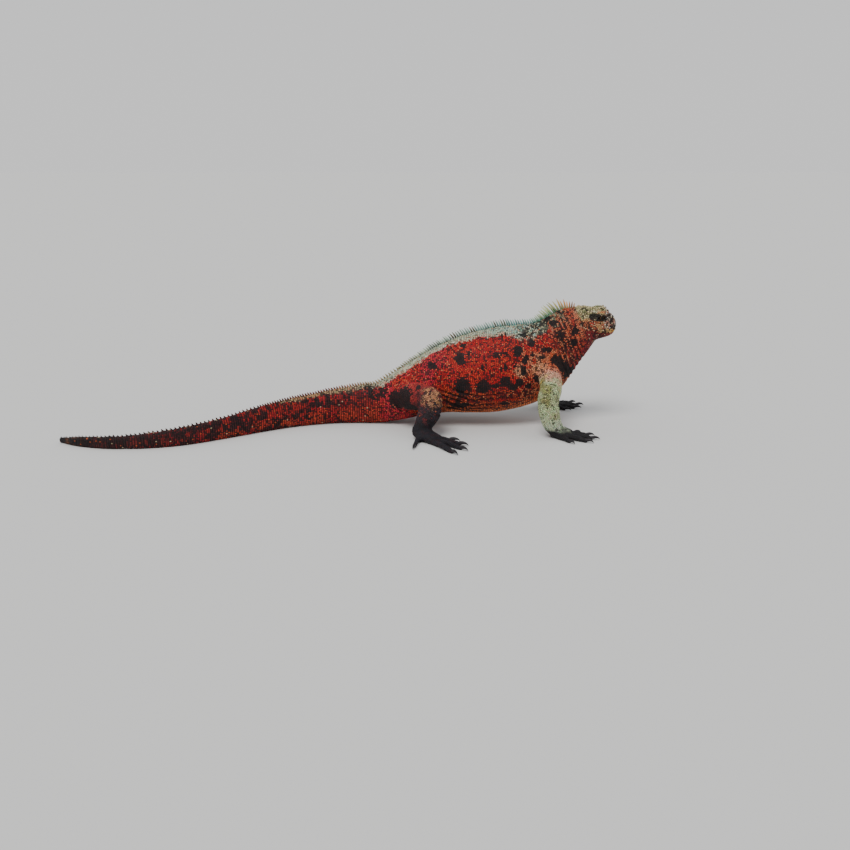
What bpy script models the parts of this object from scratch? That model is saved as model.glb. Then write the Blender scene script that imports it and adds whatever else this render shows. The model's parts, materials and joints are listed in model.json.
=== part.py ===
"""A marine iguana, life size, standing with its head raised and its tail laid along the ground.

Metres, +Z up, the head towards +X, the right side towards -Y, the soles on Z = 0.
The flesh is lofted from named sections, blended into one skin, and parted with thin cuts.
The crest spines, the head's cone scales, the eyes and the claws are set on that skin afterwards.
"""

import math
import random

import bmesh
import bpy
import numpy as np
from mathutils import Matrix, Vector
from mathutils.bvhtree import BVHTree

# Driving sizes, in millimetres where nothing else is said, with x = 0 below the middle of the trunk
MM = 0.001
GAP = 0.3
SINK = 1.0  # how deep the soles and the tail reach below the ground before they are cut flat
VENT_X = -61.0
SIDES = {"right": -1.0, "left": 1.0}

# The blended skin: size of its first fine grid, strokes of smoothing, their weight away from the blends
VOXEL = 1.7
SMOOTHING = 26
FAINT = 0.12
SKIN_TRIANGLES = 5000
GROUND = ((-150, 0, -10), (1100, 700, 20))  # the block that cuts the soles flat: middle and size

# Trunk and neck sections: crest point x, z; belly point x, z; half width; level of the widest place
TRUNK = (
    (-49, 91, -62, 4.0, 33, 0.46),
    (-12, 113.5, -22, 12.0, 42, 0.44),
    (22, 130, 10, 16.5, 49, 0.42),
    (54, 140, 50, 16.5, 53, 0.42),
    (86, 146.5, 88, 18.0, 53, 0.43),
    (115, 150.5, 124, 25.0, 49, 0.45),
    (141, 153.5, 160, 39.0, 42, 0.48),
    (159, 161, 187, 59.0, 36, 0.50),
    (177, 171, 208, 91.0, 31, 0.50),
    (191, 174, 222, 111.5, 27.5, 0.50),
    (201, 175, 231, 125.0, 23, 0.50),
)
TRUNK_POWER = 2.15  # 2 is an ellipse, more is squarer

# Tail: distance from the vent, depth, width, heading in degrees (0 is straight back)
TAIL = (
    (34, 63, 46, 0),
    (80, 56, 34, 7),
    (120, 50, 28, 17),
    (163, 45, 23, 29),
    (233, 37, 18, 40),
    (310, 29.5, 13.5, 34),
    (400, 22, 10, 6),
    (480, 15.5, 7.5, -22),
    (522, 9.5, 5.5, -36),
)
TAIL_POWER = 2.0
PATH_STEP = 2.0  # the tail's middle line is stepped along in pieces of this length

# Head sections: x, crown z, chin z, half width
HEAD = (
    (186, 169, 120, 21),
    (199, 176, 119, 26),
    (211, 177.5, 121.5, 27.5),
    (223, 176, 125.5, 25),
    (234, 174.5, 128.5, 22),
    (244, 171.5, 131, 19.5),
    (252, 167.5, 134, 17.5),
    (257.5, 162, 138, 14.0),
    (261, 155.5, 144.5, 8.0),
)
HEAD_POWER = 2.5

# Lumps that shape the head: centre x, y (right side), z; radii along x, y, z
HEAD_LUMPS = {
    "jowl": ((206, 17, 137), (17, 11.5, 16)),
    "lid": ((237.5, 13.6, 163), (9.2, 8.2, 7.6)),
    "brow": ((238, 12.0, 171.5), (11.5, 6.5, 5.6)),
    "nostril_rim": ((253, 9.2, 162.5), (4.8, 4.6, 4.6)),
    "lip": ((241, 13.6, 143.0), (14, 4.6, 5.0)),
}

EYE = {"centre": (237.5, 14.2, 163.0), "radius": 6.1, "opening": (5.2, 3.6)}
# The slit between the lids: distance out from the eye's middle, and how wide it is there
LIDS = ((3.0, 0.9), (6.5, 1.0), (11.0, 1.35))
# Pits sunk from the skin: place seen from the side x, z, how far out their middle lies, radii
NOSTRIL = ((255.6, 163.6), 0.4, (2.2, 1.7, 1.5))
EARDRUM = ((210.5, 152.5), 2.0, (4.2, 3.4, 5.4))
# The line of the mouth: its level, its corners, how far it dips before them, and the groove's radius
MOUTH = {"z": 146.8, "corner_x": 223.5, "dip_x": 246, "dip": 1.3, "radius": 0.75}
MOUTH_SWEEP = (234, 118.0, 41)  # rays that find it: their x, half their spread in degrees, their number

# Forelimb: x, y outwards, z, radius, from inside the chest to the wrist
FORELEG = (
    (156, 20, 86, 20),
    (161, 42, 79, 18.5),
    (161, 64, 68, 16.8),
    (155, 83, 53, 15.8),
    (156.5, 88, 37, 15.3),
    (162, 88, 20, 13.2),
    (169, 87, 11.5, 11.0),
)
FOREFOOT_HEADING = 16.0
# Palm sections: distance ahead of the wrist, middle z, half width, half thickness
PALM = ((-9, 12, 11, 11), (2, 9.5, 13, 9.5), (12, 7.2, 14.5, 7.6), (20, 5.8, 13.5, 6.4))
PALM_POWER = 2.3
# Digits: start ahead of the wrist, start outwards, yaw outwards in degrees, length, thickness
FORE_DIGITS = (
    (8, -10, -44, 21, 8.0),
    (16, -7, -20, 28, 8.4),
    (19, 0, -2, 33, 8.6),
    (16, 7, 16, 31, 8.4),
    (7, 11, 42, 22, 7.8),
)

# Hind limb: x, y outwards, z, radius, from inside the hip to the ankle
HINDLEG = (
    (-54, 14, 46, 21),
    (-46, 32, 49, 22),
    (-28, 56, 53, 20.5),
    (-13, 79, 53, 17.5),
    (-15, 89, 38, 16.8),
    (-22, 93, 24, 14.5),
    (-27, 95, 13.5, 11.5),
)
HINDFOOT_HEADING = 48.0
INSTEP = ((-10, 12, 11.5, 11), (4, 9.0, 13.0, 9), (20, 7.2, 14.5, 7.4), (34, 5.8, 13.0, 6.2))
HIND_DIGITS = (
    (20, -10, -36, 24, 7.8),
    (29, -8, -19, 36, 8.4),
    (33, -1, -5, 47, 8.8),
    (31, 7, 9, 54, 8.8),
    (6, 11, 50, 34, 8.0),
)

# Toe sections: distance along it, radius and height of its middle, in shares of length and thickness
TOE_ROOT = (8.0, 0.55, 0.36)  # the first one lies this far behind the toe's start
TOE = ((0, 0.54, 0.385), (0.40, 0.50, 0.535), (0.72, 0.47, 0.385), (0.92, 0.42, 0.22), (1, 0.30, 0.185))

# How far each foot stands ahead of the drawn place, and how it turns outwards
STANCE = {
    ("fore", "right"): (0, 0),
    ("fore", "left"): (4, -4),
    ("hind", "right"): (0, 0),
    ("hind", "left"): (-15, 8),
}
CLAW = {"fore": (11.0, 2.5), "hind": (13.0, 2.7)}  # length and root radius
CLAW_ROOT = 3.0
CLAW_SEAT = 0.6  # how far behind the toe's end a claw starts
CLAW_RISE = 0.75  # how far above the ground its root lies
# Claw sections: share of its length, share of its radius, lift of its middle
CLAW_SHAPE = ((0, 1.0, 0.5), (0.4, 0.78, 1.1), (0.75, 0.46, 0.2), (0.93, 0.2, -1.6))

# Places where one form flows into the next: x, y outwards, z, reach, on both sides
BLENDS = (
    (161, 44, 80, 34),
    (-38, 40, 50, 36),
    (196, 0, 148, 52),
    (229, 0, 125, 30),
    (168, 87, 12, 15),
    (-25, 95, 14, 16),
    (-75, 0, 40, 40),
)

# Cuts that part the skin: point x, y outwards, z; facing x, y outwards, z; disc radius
# Those of the limbs start with the foot that they belong to and how much of its stance they share
MIDLINE_CUTS = {
    "head": ((211, 0, 148), (0.93, 0, 0.36), 48),
    "neck": ((176, 0, 116), (0.914, 0, 0.405), 78),
    "tail": ((-84, 0, 36), (0.98, 0, 0.18), 62),
}
SIDE_CUTS = {
    "shoulder": ("fore", 0.2, (161, 52, 74), (-0.05, 0.97, -0.24), 31),
    "elbow": ("fore", 0.55, (155.5, 86, 47), (0.05, 0.20, -0.98), 22),
    "wrist": ("fore", 0.9, (163, 88, 21), (0.35, 0, -0.94), 19),
    "hip": ("hind", 0.2, (-28, 54, 53), (0.15, 0.98, 0.10), 30),
    "knee": ("hind", 0.5, (-17, 90.5, 33), (-0.30, 0.05, -0.95), 20),
    "ankle": ("hind", 0.9, (-25, 94, 18), (-0.2, 0, -0.98), 19),
}
TAIL_CUTS = (132.0, 258.0, 385.0)
TAIL_CUT_RADIUS = 45.0

# The lengths of the tail, each with the distance from the vent of a point inside it
TAIL_PIECES = {"tail_base": 75, "tail_middle": 195, "tail_end": 320, "tail_tip": 450}

# One point inside each fleshy piece, x, y outwards, z, those of the limbs with their foot and share
MIDDLE_PIECES = {"head": (234, 0, 152), "neck": (190, 0, 138), "torso": (60, 0, 80)}
SIDE_PIECES = {
    "upper_arm": ("fore", 0.4, (158, 74, 62)),
    "forearm": ("fore", 0.8, (158, 88, 32)),
    "forefoot": ("fore", 1.0, (178, 90, 8)),
    "thigh": ("hind", 0.4, (-18, 70, 54)),
    "shank": ("hind", 0.8, (-20, 92, 26)),
    "hindfoot": ("hind", 1.0, (-19, 104, 8)),
}

# Crest, at distances back from the nape: spine height, pitch, root length, lean behind the skin's normal
CREST_STEPS = (
    (0, 7.5, 3.1, 2.3, -18),
    (10, 12.5, 3.3, 2.7, 2),
    (16, 17.5, 3.4, 2.9, 14),
    (26, 18.5, 3.5, 3.0, 20),
    (38, 17.0, 3.5, 3.0, 22),
    (48, 11.0, 3.5, 2.8, 22),
    (58, 7.0, 3.6, 2.6, 20),
    (76, 7.5, 3.8, 2.7, 20),
    (95, 10.5, 4.0, 2.9, 20),
    (150, 10.2, 4.0, 2.9, 20),
    (205, 8.6, 4.0, 2.8, 19),
    (258, 5.6, 4.2, 2.8, 20),
    (420, 4.6, 4.8, 2.8, 24),
    (600, 3.6, 5.2, 2.8, 26),
    (785, 2.4, 5.2, 2.2, 28),
)
CREST_START_X = 198.5
CREST_ROOT = 1.8  # how deep a spine is rooted
CREST_THICK = 0.8  # a spine's thickness, as a share of its root's length
CREST_CLEAR = 1.0  # how far a root keeps from the cuts
CREST_SIDES = 5
ABOVE_ALL = 400.0
CREST_NODES = ("neck", "torso", "tail_base", "tail_middle", "tail_end", "tail_tip")

# Cone scales of the crown, brow and snout
CONES = {"rows": (206, 257), "half_span": 21.0, "pitch": 5.2, "radius": 2.35, "height": 1.9, "root": 0.8}
CONE_JITTER = 0.7
CONE_CLEAR = 3.6  # how far they keep from the eyeball
STEEPEST = 0.45  # the least upward facing of skin that bears them

# Materials: colour and roughness
COLOURS = {
    "flank_skin": ((0.55, 0.09, 0.06), 0.75),
    "head_skin": ((0.38, 0.30, 0.20), 0.75),
    "neck_skin": ((0.48, 0.10, 0.07), 0.75),
    "tail_skin": ((0.22, 0.05, 0.05), 0.75),
    "arm_skin": ((0.47, 0.52, 0.36), 0.75),
    "leg_skin": ((0.08, 0.06, 0.07), 0.75),
    "claw_horn": ((0.03, 0.028, 0.03), 0.35),
    "eye_ball": ((0.05, 0.03, 0.02), 0.1),
}
SLOT_OF = {
    "torso": "flank_skin",
    "head": "head_skin",
    "neck": "neck_skin",
    "tail": "tail_skin",
    "upper_arm": "arm_skin",
    "forearm": "arm_skin",
    "forefoot": "leg_skin",
    "thigh": "leg_skin",
    "shank": "leg_skin",
    "hindfoot": "leg_skin",
    "claw": "claw_horn",
    "eye": "eye_ball",
}


def clear_scene():
    """Empty the scene that the script starts in."""
    for obj in list(bpy.data.objects):
        bpy.data.objects.remove(obj)


def object_from(name, bm):
    """Turn a bmesh that is drawn in millimetres into an object in metres."""
    bmesh.ops.recalc_face_normals(bm, faces=bm.faces)
    bm.transform(Matrix.Scale(MM, 4))
    mesh = bpy.data.meshes.new(name)
    bm.to_mesh(mesh)
    bm.free()
    obj = bpy.data.objects.new(name, mesh)
    bpy.context.scene.collection.objects.link(obj)
    return obj


def smooth_rows(rows, steps):
    """Rows between the given ones, on a Catmull-Rom curve through every row."""
    rows = np.array(rows, float)
    padded = np.vstack((2 * rows[0] - rows[1], rows, 2 * rows[-1] - rows[-2]))
    made = []
    for i in range(1, len(padded) - 2):
        a, b, c, d = padded[i - 1 : i + 3]
        for t in np.arange(steps) / steps:
            made.append(
                b + 0.5 * t * (c - a + t * (2 * a - 5 * b + 4 * c - d + t * (3 * (b - c) + d - a)))
            )
    made.append(rows[-1])
    return np.array(made)


def section(centre, side, up, half_width, above, below, power, count):
    """A closed ring: a superellipse that is taller or flatter above its middle than below."""
    ring = []
    for k in range(count):
        c, s = math.cos(2 * math.pi * k / count), math.sin(2 * math.pi * k / count)
        across = half_width * math.copysign(abs(c) ** (2 / power), c)
        rise = (above if s > 0 else below) * math.copysign(abs(s) ** (2 / power), s)
        ring.append(Vector(centre) + Vector(side) * across + Vector(up) * rise)
    return ring


def loft(bm, rings):
    """Skin a row of rings and close both ends."""
    loops = [[bm.verts.new(p) for p in ring] for ring in rings]
    for a, b in zip(loops, loops[1:]):
        for k in range(len(a)):
            n = (k + 1) % len(a)
            bm.faces.new((a[k], a[n], b[n], b[k]))
    bm.faces.new(loops[0])
    bm.faces.new(loops[-1])


def tube(bm, rows, steps, count):
    """Loft round rings along rows of x, y, z and radius."""
    rows = smooth_rows(rows, steps)
    rings = []
    for i, row in enumerate(rows):
        ahead = Vector(rows[min(i + 1, len(rows) - 1)][:3] - rows[max(i - 1, 0)][:3]).normalized()
        side = ahead.cross(Vector((0, 0, 1))).normalized()
        up = side.cross(ahead)
        rings.append(section(row[:3], side, up, row[3], row[3], row[3], 2, count))
    loft(bm, rings)


def ellipsoid(bm, centre, radii, segments=20):
    """A closed ellipsoid."""
    place = Matrix.Translation(centre) @ Matrix.Diagonal((*radii, 1))
    bmesh.ops.create_uvsphere(
        bm, u_segments=segments, v_segments=segments // 2, radius=1, matrix=place
    )


def tail_path():
    """The tail's middle line on the ground plan: rows of distance from the vent, x, y and turn."""
    rows = np.array(TAIL, float)
    x, y, found = VENT_X, 0.0, []
    for distance in np.arange(0, rows[-1, 0] + 2 * PATH_STEP, PATH_STEP):
        turn = math.radians(np.interp(distance, rows[:, 0], rows[:, 3]))
        found.append((distance, x, y, turn))
        x -= PATH_STEP * math.cos(turn)
        y -= PATH_STEP * math.sin(turn)
    return np.array(found)


def tail_place(distance):
    """The tail's middle at a distance from the vent, and the level direction towards its tip."""
    path = tail_path()
    x, y, turn = (np.interp(distance, path[:, 0], path[:, k]) for k in (1, 2, 3))
    middle = np.interp(distance, [row[0] for row in TAIL], [row[1] for row in TAIL]) / 2 - SINK
    return Vector((x, y, middle)), Vector((-math.cos(turn), -math.sin(turn), 0))


def body_rows():
    """Every section of the tail, trunk and neck, tail first, as plain numbers that can be smoothed.

    Each is the middle x, y, z, the up direction x, z, the heading, above, below, half width, power.
    """
    rows = []
    for distance, depth, width, heading in smooth_rows(TAIL, 3):
        x, y, _ = tail_place(distance)[0]
        middle = depth / 2 - SINK
        rows.append((x, y, middle, 0, 1, heading, depth / 2, depth / 2, width / 2, TAIL_POWER))
    rows.reverse()
    for top_x, top_z, low_x, low_z, half_width, level in TRUNK:
        up = Vector((top_x - low_x, 0, top_z - low_z))
        height = up.length
        up.normalize()
        x, z = low_x + up.x * height * level, low_z + up.z * height * level
        above, below = height * (1 - level), height * level
        rows.append((x, 0, z, up.x, up.z, 0, above, below, half_width, TRUNK_POWER))
    return rows


def add_body(bm):
    """The tail, trunk and neck as one loft."""
    rings = []
    for x, y, z, up_x, up_z, heading, above, below, half_width, power in smooth_rows(body_rows(), 4):
        turn = math.radians(heading)
        side = (-math.sin(turn), math.cos(turn), 0)
        up = Vector((up_x, 0, up_z)).normalized()
        rings.append(section((x, y, z), side, up, half_width, above, below, power, 48))
    loft(bm, rings)


def add_head(bm):
    """The head's loft with the lumps of jowl, lids, brow, nostril rims and lips."""
    rings = []
    for x, top, low, half_width in smooth_rows(HEAD, 6):
        half, middle = (top - low) / 2, (x, 0, (top + low) / 2)
        rings.append(section(middle, (0, 1, 0), (0, 0, 1), half_width, half, half, HEAD_POWER, 44))
    loft(bm, rings)
    for centre, radii in HEAD_LUMPS.values():
        for way in SIDES.values():
            ellipsoid(bm, (centre[0], way * centre[1], centre[2]), radii)


def foot_frame(which, side):
    """The wrist or ankle that a foot starts from, and its forward and outward directions."""
    rows, heading = (FORELEG, FOREFOOT_HEADING) if which == "fore" else (HINDLEG, HINDFOOT_HEADING)
    ahead, turn = STANCE[which, side]
    way = SIDES[side]
    angle = math.radians(heading + turn)
    start = Vector((rows[-1][0] + ahead, way * rows[-1][1], 0))
    forward = Vector((math.cos(angle), way * math.sin(angle), 0))
    outward = Vector((-math.sin(angle), way * math.cos(angle), 0))
    return start, forward, outward


def digit_line(which, side, digit):
    """The start, direction, length and thickness of one toe, in the plane of the ground."""
    start, forward, outward = foot_frame(which, side)
    ahead, across, yaw, length, thick = digit
    turn = math.radians(yaw)
    direction = forward * math.cos(turn) + outward * math.sin(turn)
    return start + forward * ahead + outward * across, direction, length, thick


def add_leg(bm, which, side):
    """One limb: the tube of its bones and muscle, the flat of the foot and the toes."""
    rows, palm, digits = (
        (FORELEG, PALM, FORE_DIGITS) if which == "fore" else (HINDLEG, INSTEP, HIND_DIGITS)
    )
    way, ahead = SIDES[side], STANCE[which, side][0]
    placed = []
    for i, (x, y, z, radius) in enumerate(rows):
        share = max(0.0, (i - 1) / (len(rows) - 2))
        placed.append((x + ahead * share, way * y, z, radius))
    tube(bm, placed, 6, 24)
    start, forward, outward = foot_frame(which, side)
    rings = []
    for reach, middle, half_width, half in smooth_rows(palm, 4):
        centre = start + forward * reach + Vector((0, 0, middle))
        rings.append(section(centre, outward, (0, 0, 1), half_width, half, half, PALM_POWER, 24))
    loft(bm, rings)
    for digit in digits:
        add_toe(bm, *digit_line(which, side, digit))


def add_toe(bm, origin, direction, length, thick):
    """One toe: a tube that rises over its middle joint and comes down to its claw."""
    back, root_radius, root_rise = TOE_ROOT
    stations = [(-back, root_radius, root_rise)]
    stations += [(share * length, radius, rise) for share, radius, rise in TOE]
    rows = []
    for reach, radius, rise in stations:
        place = origin + direction * reach
        rows.append((place.x, place.y, rise * thick, radius * thick))
    tube(bm, rows, 4, 14)


def apply_modifiers(obj):
    """Keep what an object's modifiers make as its own mesh."""
    graph = bpy.context.evaluated_depsgraph_get()
    mesh = bpy.data.meshes.new_from_object(obj.evaluated_get(graph))
    obj.modifiers.clear()
    obj.data = mesh


def boolean(obj, operation, others, solver="EXACT"):
    """Join others to an object, or cut them from it, and drop them."""
    tools = bpy.data.collections.new("tools")
    bpy.context.scene.collection.children.link(tools)
    for other in others:
        bpy.context.scene.collection.objects.unlink(other)
        tools.objects.link(other)
    change = obj.modifiers.new("change", "BOOLEAN")
    change.operation = operation
    change.operand_type = "COLLECTION"
    change.collection = tools
    change.solver = solver
    apply_modifiers(obj)
    for other in others:
        bpy.data.objects.remove(other)
    bpy.data.collections.remove(tools)


def islands(bm):
    """The separate closed surfaces of a bmesh, as lists of faces, largest first."""
    unseen, found = set(bm.faces), []
    while unseen:
        stack = [unseen.pop()]
        island = list(stack)
        while stack:
            for edge in stack.pop().edges:
                for face in edge.link_faces:
                    if face in unseen:
                        unseen.remove(face)
                        stack.append(face)
                        island.append(face)
        found.append(island)
    return sorted(found, key=lambda faces: -sum(f.calc_area() for f in faces))


def keep_largest(obj):
    """Drop every closed surface of an object but its largest."""
    bm = bmesh.new()
    bm.from_mesh(obj.data)
    for island in islands(bm)[1:]:
        bmesh.ops.delete(bm, geom=list({v for f in island for v in f.verts}), context="VERTS")
    bm.to_mesh(obj.data)
    bm.free()


def points_of(obj):
    """An object's points as rows of millimetres."""
    points = np.empty(len(obj.data.vertices) * 3)
    obj.data.vertices.foreach_get("co", points)
    return points.reshape(-1, 3) / MM


def fill_group(group, weight):
    """Give a vertex group its weights, in steps of a tenth."""
    steps = np.round(weight, 1)
    for level in np.unique(steps):
        group.add(np.nonzero(steps == level)[0].tolist(), float(level), "REPLACE")


def blend_weights(obj):
    """Name a vertex group that is strong where one form flows into the next."""
    group = obj.vertex_groups.new(name="blend")
    points = points_of(obj)
    weight = np.full(len(points), FAINT)
    for x, y, z, reach in BLENDS:
        for way in SIDES.values():
            away = np.linalg.norm(points - (x, way * y, z), axis=1) / reach
            weight = np.maximum(weight, np.clip(1.4 * (1 - away), 0, 1))
    fill_group(group, weight)
    return group.name


def make_skin():
    """The whole fleshy body as one closed, blended surface with flat soles."""
    bm = bmesh.new()
    add_body(bm)
    add_head(bm)
    for side in SIDES:
        add_leg(bm, "fore", side)
        add_leg(bm, "hind", side)
    skin = object_from("skin", bm)
    remesh = skin.modifiers.new("one_surface", "REMESH")
    remesh.mode = "VOXEL"
    remesh.voxel_size = VOXEL * MM
    apply_modifiers(skin)
    smooth = skin.modifiers.new("flow", "SMOOTH")
    smooth.vertex_group = blend_weights(skin)
    smooth.factor = 0.5
    smooth.iterations = SMOOTHING
    thin = skin.modifiers.new("thin", "DECIMATE")
    thin.ratio = SKIN_TRIANGLES / (2 * len(skin.data.polygons))
    thin.use_collapse_triangulate = True
    apply_modifiers(skin)
    skin.vertex_groups.clear()
    middle, size = GROUND
    ground = bmesh.new()
    bmesh.ops.create_cube(ground, matrix=Matrix.Translation(middle) @ Matrix.Diagonal((*size, 1)))
    boolean(skin, "DIFFERENCE", [object_from("ground", ground)])
    keep_largest(skin)
    return skin


def disc(point, facing, radius):
    """A round cutter as thin as the gap."""
    turn = Vector(facing).to_track_quat("Z", "Y").to_matrix().to_4x4()
    place = Matrix.Translation(point) @ turn
    bm = bmesh.new()
    bmesh.ops.create_cone(
        bm, cap_ends=True, segments=32, radius1=radius, radius2=radius, depth=GAP, matrix=place
    )
    return object_from("cut", bm)


def mirrored(point, way):
    """A point given with y outwards, on one side."""
    return Vector((point[0], way * point[1], point[2]))


def on_limb(point, foot, share, side):
    """A point of a limb on one side, moved with its foot's stance as far as it shares that."""
    return mirrored(point, SIDES[side]) + Vector((share * STANCE[foot, side][0], 0, 0))


def cutters():
    """The thin cuts between the named pieces of flesh."""
    made = [disc(point, facing, radius) for point, facing, radius in MIDLINE_CUTS.values()]
    for foot, share, point, facing, radius in SIDE_CUTS.values():
        for side, way in SIDES.items():
            made.append(disc(on_limb(point, foot, share, side), mirrored(facing, way), radius))
    for distance in TAIL_CUTS:
        middle, back = tail_place(distance)
        made.append(disc(middle, back, TAIL_CUT_RADIUS))
    return made


def anchors():
    """A point inside each named piece of flesh."""
    found = {name: Vector(point) for name, point in MIDDLE_PIECES.items()}
    for name, (foot, share, point) in SIDE_PIECES.items():
        for side in SIDES:
            found[f"{name}_{side}"] = on_limb(point, foot, share, side)
    for name, distance in TAIL_PIECES.items():
        found[name] = tail_place(distance)[0]
    return found


def holds(tree, point):
    """Whether a closed surface holds a point, by counting walls along a slanted line."""
    way = Vector((0.31, 0.17, 0.93)).normalized()
    at, walls = point * MM, 0
    while True:
        hit = tree.ray_cast(at, way)[0]
        if hit is None:
            return walls % 2 == 1
        walls += 1
        at = hit + way * 1e-6


def part_skin(skin):
    """Cut the skin and return its pieces by name, each found by the point that lies inside it."""
    boolean(skin, "DIFFERENCE", cutters())
    bm = bmesh.new()
    bm.from_mesh(skin.data)
    places, pieces = anchors(), {}
    for island in islands(bm):
        verts = sorted({v for f in island for v in f.verts}, key=lambda v: v.index)
        order = {v: i for i, v in enumerate(verts)}
        points = [v.co.copy() for v in verts]
        faces = [[order[v] for v in f.verts] for f in island]
        tree = BVHTree.FromPolygons(points, faces)
        held = [name for name, place in places.items() if name not in pieces and holds(tree, place)]
        if held:
            mesh = bpy.data.meshes.new(held[0])
            mesh.from_pydata(points, [], faces)
            pieces[held[0]] = bpy.data.objects.new(held[0], mesh)
            bpy.context.scene.collection.objects.link(pieces[held[0]])
    bm.free()
    bpy.data.objects.remove(skin)
    return pieces


def claw(name, origin, direction, length, radius, grow):
    """A curved claw: a cone that arches forward and down to just above the ground."""
    stations = [(-CLAW_ROOT, 0.96, 0.0)]
    stations += [(share * length, wide, lift) for share, wide, lift in CLAW_SHAPE]
    side, up = direction.cross(Vector((0, 0, 1))), (0, 0, 1)
    rings = []
    for reach, wide, lift in stations:
        middle = origin + direction * reach + Vector((0, 0, radius + CLAW_RISE + lift))
        half = radius * wide + grow
        rings.append(section(middle, side, up, half * 0.85, half, half, 2, 6))
    bm = bmesh.new()
    loft(bm, rings)
    return object_from(name, bm)


def add_claws(pieces):
    """Set a claw in the end of each toe, in a socket that is a gap wider."""
    made = {}
    for which, digits in (("fore", FORE_DIGITS), ("hind", HIND_DIGITS)):
        length, radius = CLAW[which]
        for side in SIDES:
            sockets = []
            for number, digit in enumerate(digits, 1):
                origin, direction, reach, _ = digit_line(which, side, digit)
                tip = origin + direction * (reach - CLAW_SEAT)
                name = f"claw_{which}_{side}_{number}"
                made[name] = claw(name, tip, direction, length, radius, 0)
                sockets.append(claw("socket", tip - direction * GAP, direction, length, radius, GAP))
            foot = pieces[f"{which}foot_{side}"]
            boolean(foot, "DIFFERENCE", sockets)
            keep_largest(foot)
    return made


def ball(name, centre, radius, segments):
    """A closed round ball."""
    bm = bmesh.new()
    ellipsoid(bm, centre, (radius,) * 3, segments)
    return object_from(name, bm)


def add_eyes(head):
    """Two eyeballs, each in a socket that opens between the lids."""
    made, cuts = {}, []
    radius = EYE["radius"]
    half_length, half_height = EYE["opening"]
    for side, way in SIDES.items():
        place = mirrored(EYE["centre"], way)
        made[f"eye_{side}"] = ball(f"eye_{side}", place, radius, 18)
        cuts.append(ball("socket", place, radius + 1.5 * GAP, 18))
        rings = []
        for out, wide in LIDS:
            middle, rise = place + Vector((0, way * out, 0)), half_height * wide
            rings.append(section(middle, (1, 0, 0), (0, 0, 1), half_length * wide, rise, rise, 1.6, 16))
        slit = bmesh.new()
        loft(slit, rings)
        cuts.append(object_from("slit", slit))
    boolean(head, "DIFFERENCE", cuts)
    return made


def surface_of(obj):
    """A search tree over an object's faces."""
    bm = bmesh.new()
    bm.from_mesh(obj.data)
    tree = BVHTree.FromBMesh(bm)
    bm.free()
    return tree


def mouth_line(tree):
    """Points along the mouth, from corner to corner round the snout, on the surface of the lips."""
    start_x, spread, count = MOUTH_SWEEP
    line = []
    for degrees in np.linspace(-spread, spread, count):
        angle = math.radians(degrees)
        way = Vector((math.cos(angle), math.sin(angle), 0))
        hit = tree.ray_cast(Vector((start_x, 0, MOUTH["z"])) * MM, way)[0] / MM
        if hit.x >= MOUTH["corner_x"]:
            share = max(0.0, (MOUTH["dip_x"] - hit.x) / (MOUTH["dip_x"] - MOUTH["corner_x"]))
            line.append((hit.x, hit.y, MOUTH["z"] - MOUTH["dip"] * math.sin(math.pi * share)))
    return line


def carve_face(head):
    """Cut the line of the mouth, the nostrils and the eardrums."""
    tree, cuts = surface_of(head), []
    groove = bmesh.new()
    tube(groove, [(*point, MOUTH["radius"]) for point in mouth_line(tree)], 1, 6)
    cuts.append(object_from("groove", groove))
    for (x, z), out, radii in (NOSTRIL, EARDRUM):
        for way in SIDES.values():
            start = Vector((x, way * ABOVE_ALL, z))
            skin = tree.ray_cast(start * MM, Vector((0, -way, 0)))[0] / MM
            pit = bmesh.new()
            ellipsoid(pit, (x, skin.y + way * out, z), radii, 10)
            cuts.append(object_from("pit", pit))
    boolean(head, "DIFFERENCE", cuts)
    keep_largest(head)


def crest_line():
    """Points along the middle of the back, each with its distance from the nape and the way back."""
    line = []
    for x in np.arange(CREST_START_X, VENT_X, -1.0):
        line.append((CREST_START_X - x, Vector((x, 0, 0)), Vector((-1, 0, 0))))
    for distance in np.arange(0, TAIL[-1][0] - 4, 1.0):
        place, back = tail_place(distance)
        line.append((CREST_START_X - VENT_X + distance, place, back))
    return line


def crest_seat(trees, place):
    """The piece that bears the crest at a place on the plan, with its topmost point and facing."""
    name, top, up = None, None, None
    start = Vector((place.x, place.y, ABOVE_ALL)) * MM
    for piece, tree in trees.items():
        point, facing, _, _ = tree.ray_cast(start, Vector((0, 0, -1)))
        if point is not None and (top is None or point.z > top.z):
            name, top, up = piece, point, facing
    return name, top, up


def cone(name, root, tip, facing, half_length, half_width, sides):
    """A closed spine or cone scale, longer along the facing than across it."""
    axis = (tip - root).normalized()
    across = axis.cross(facing).normalized()
    along = across.cross(axis)
    bm = bmesh.new()
    ring = []
    for k in range(sides):
        angle = 2 * math.pi * k / sides
        out = along * half_length * math.cos(angle) + across * half_width * math.sin(angle)
        ring.append(bm.verts.new(root + out))
    point = bm.verts.new(tip)
    bm.faces.new(ring)
    for k in range(sides):
        bm.faces.new((ring[k], ring[(k + 1) % sides], point))
    return object_from(name, bm)


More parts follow.
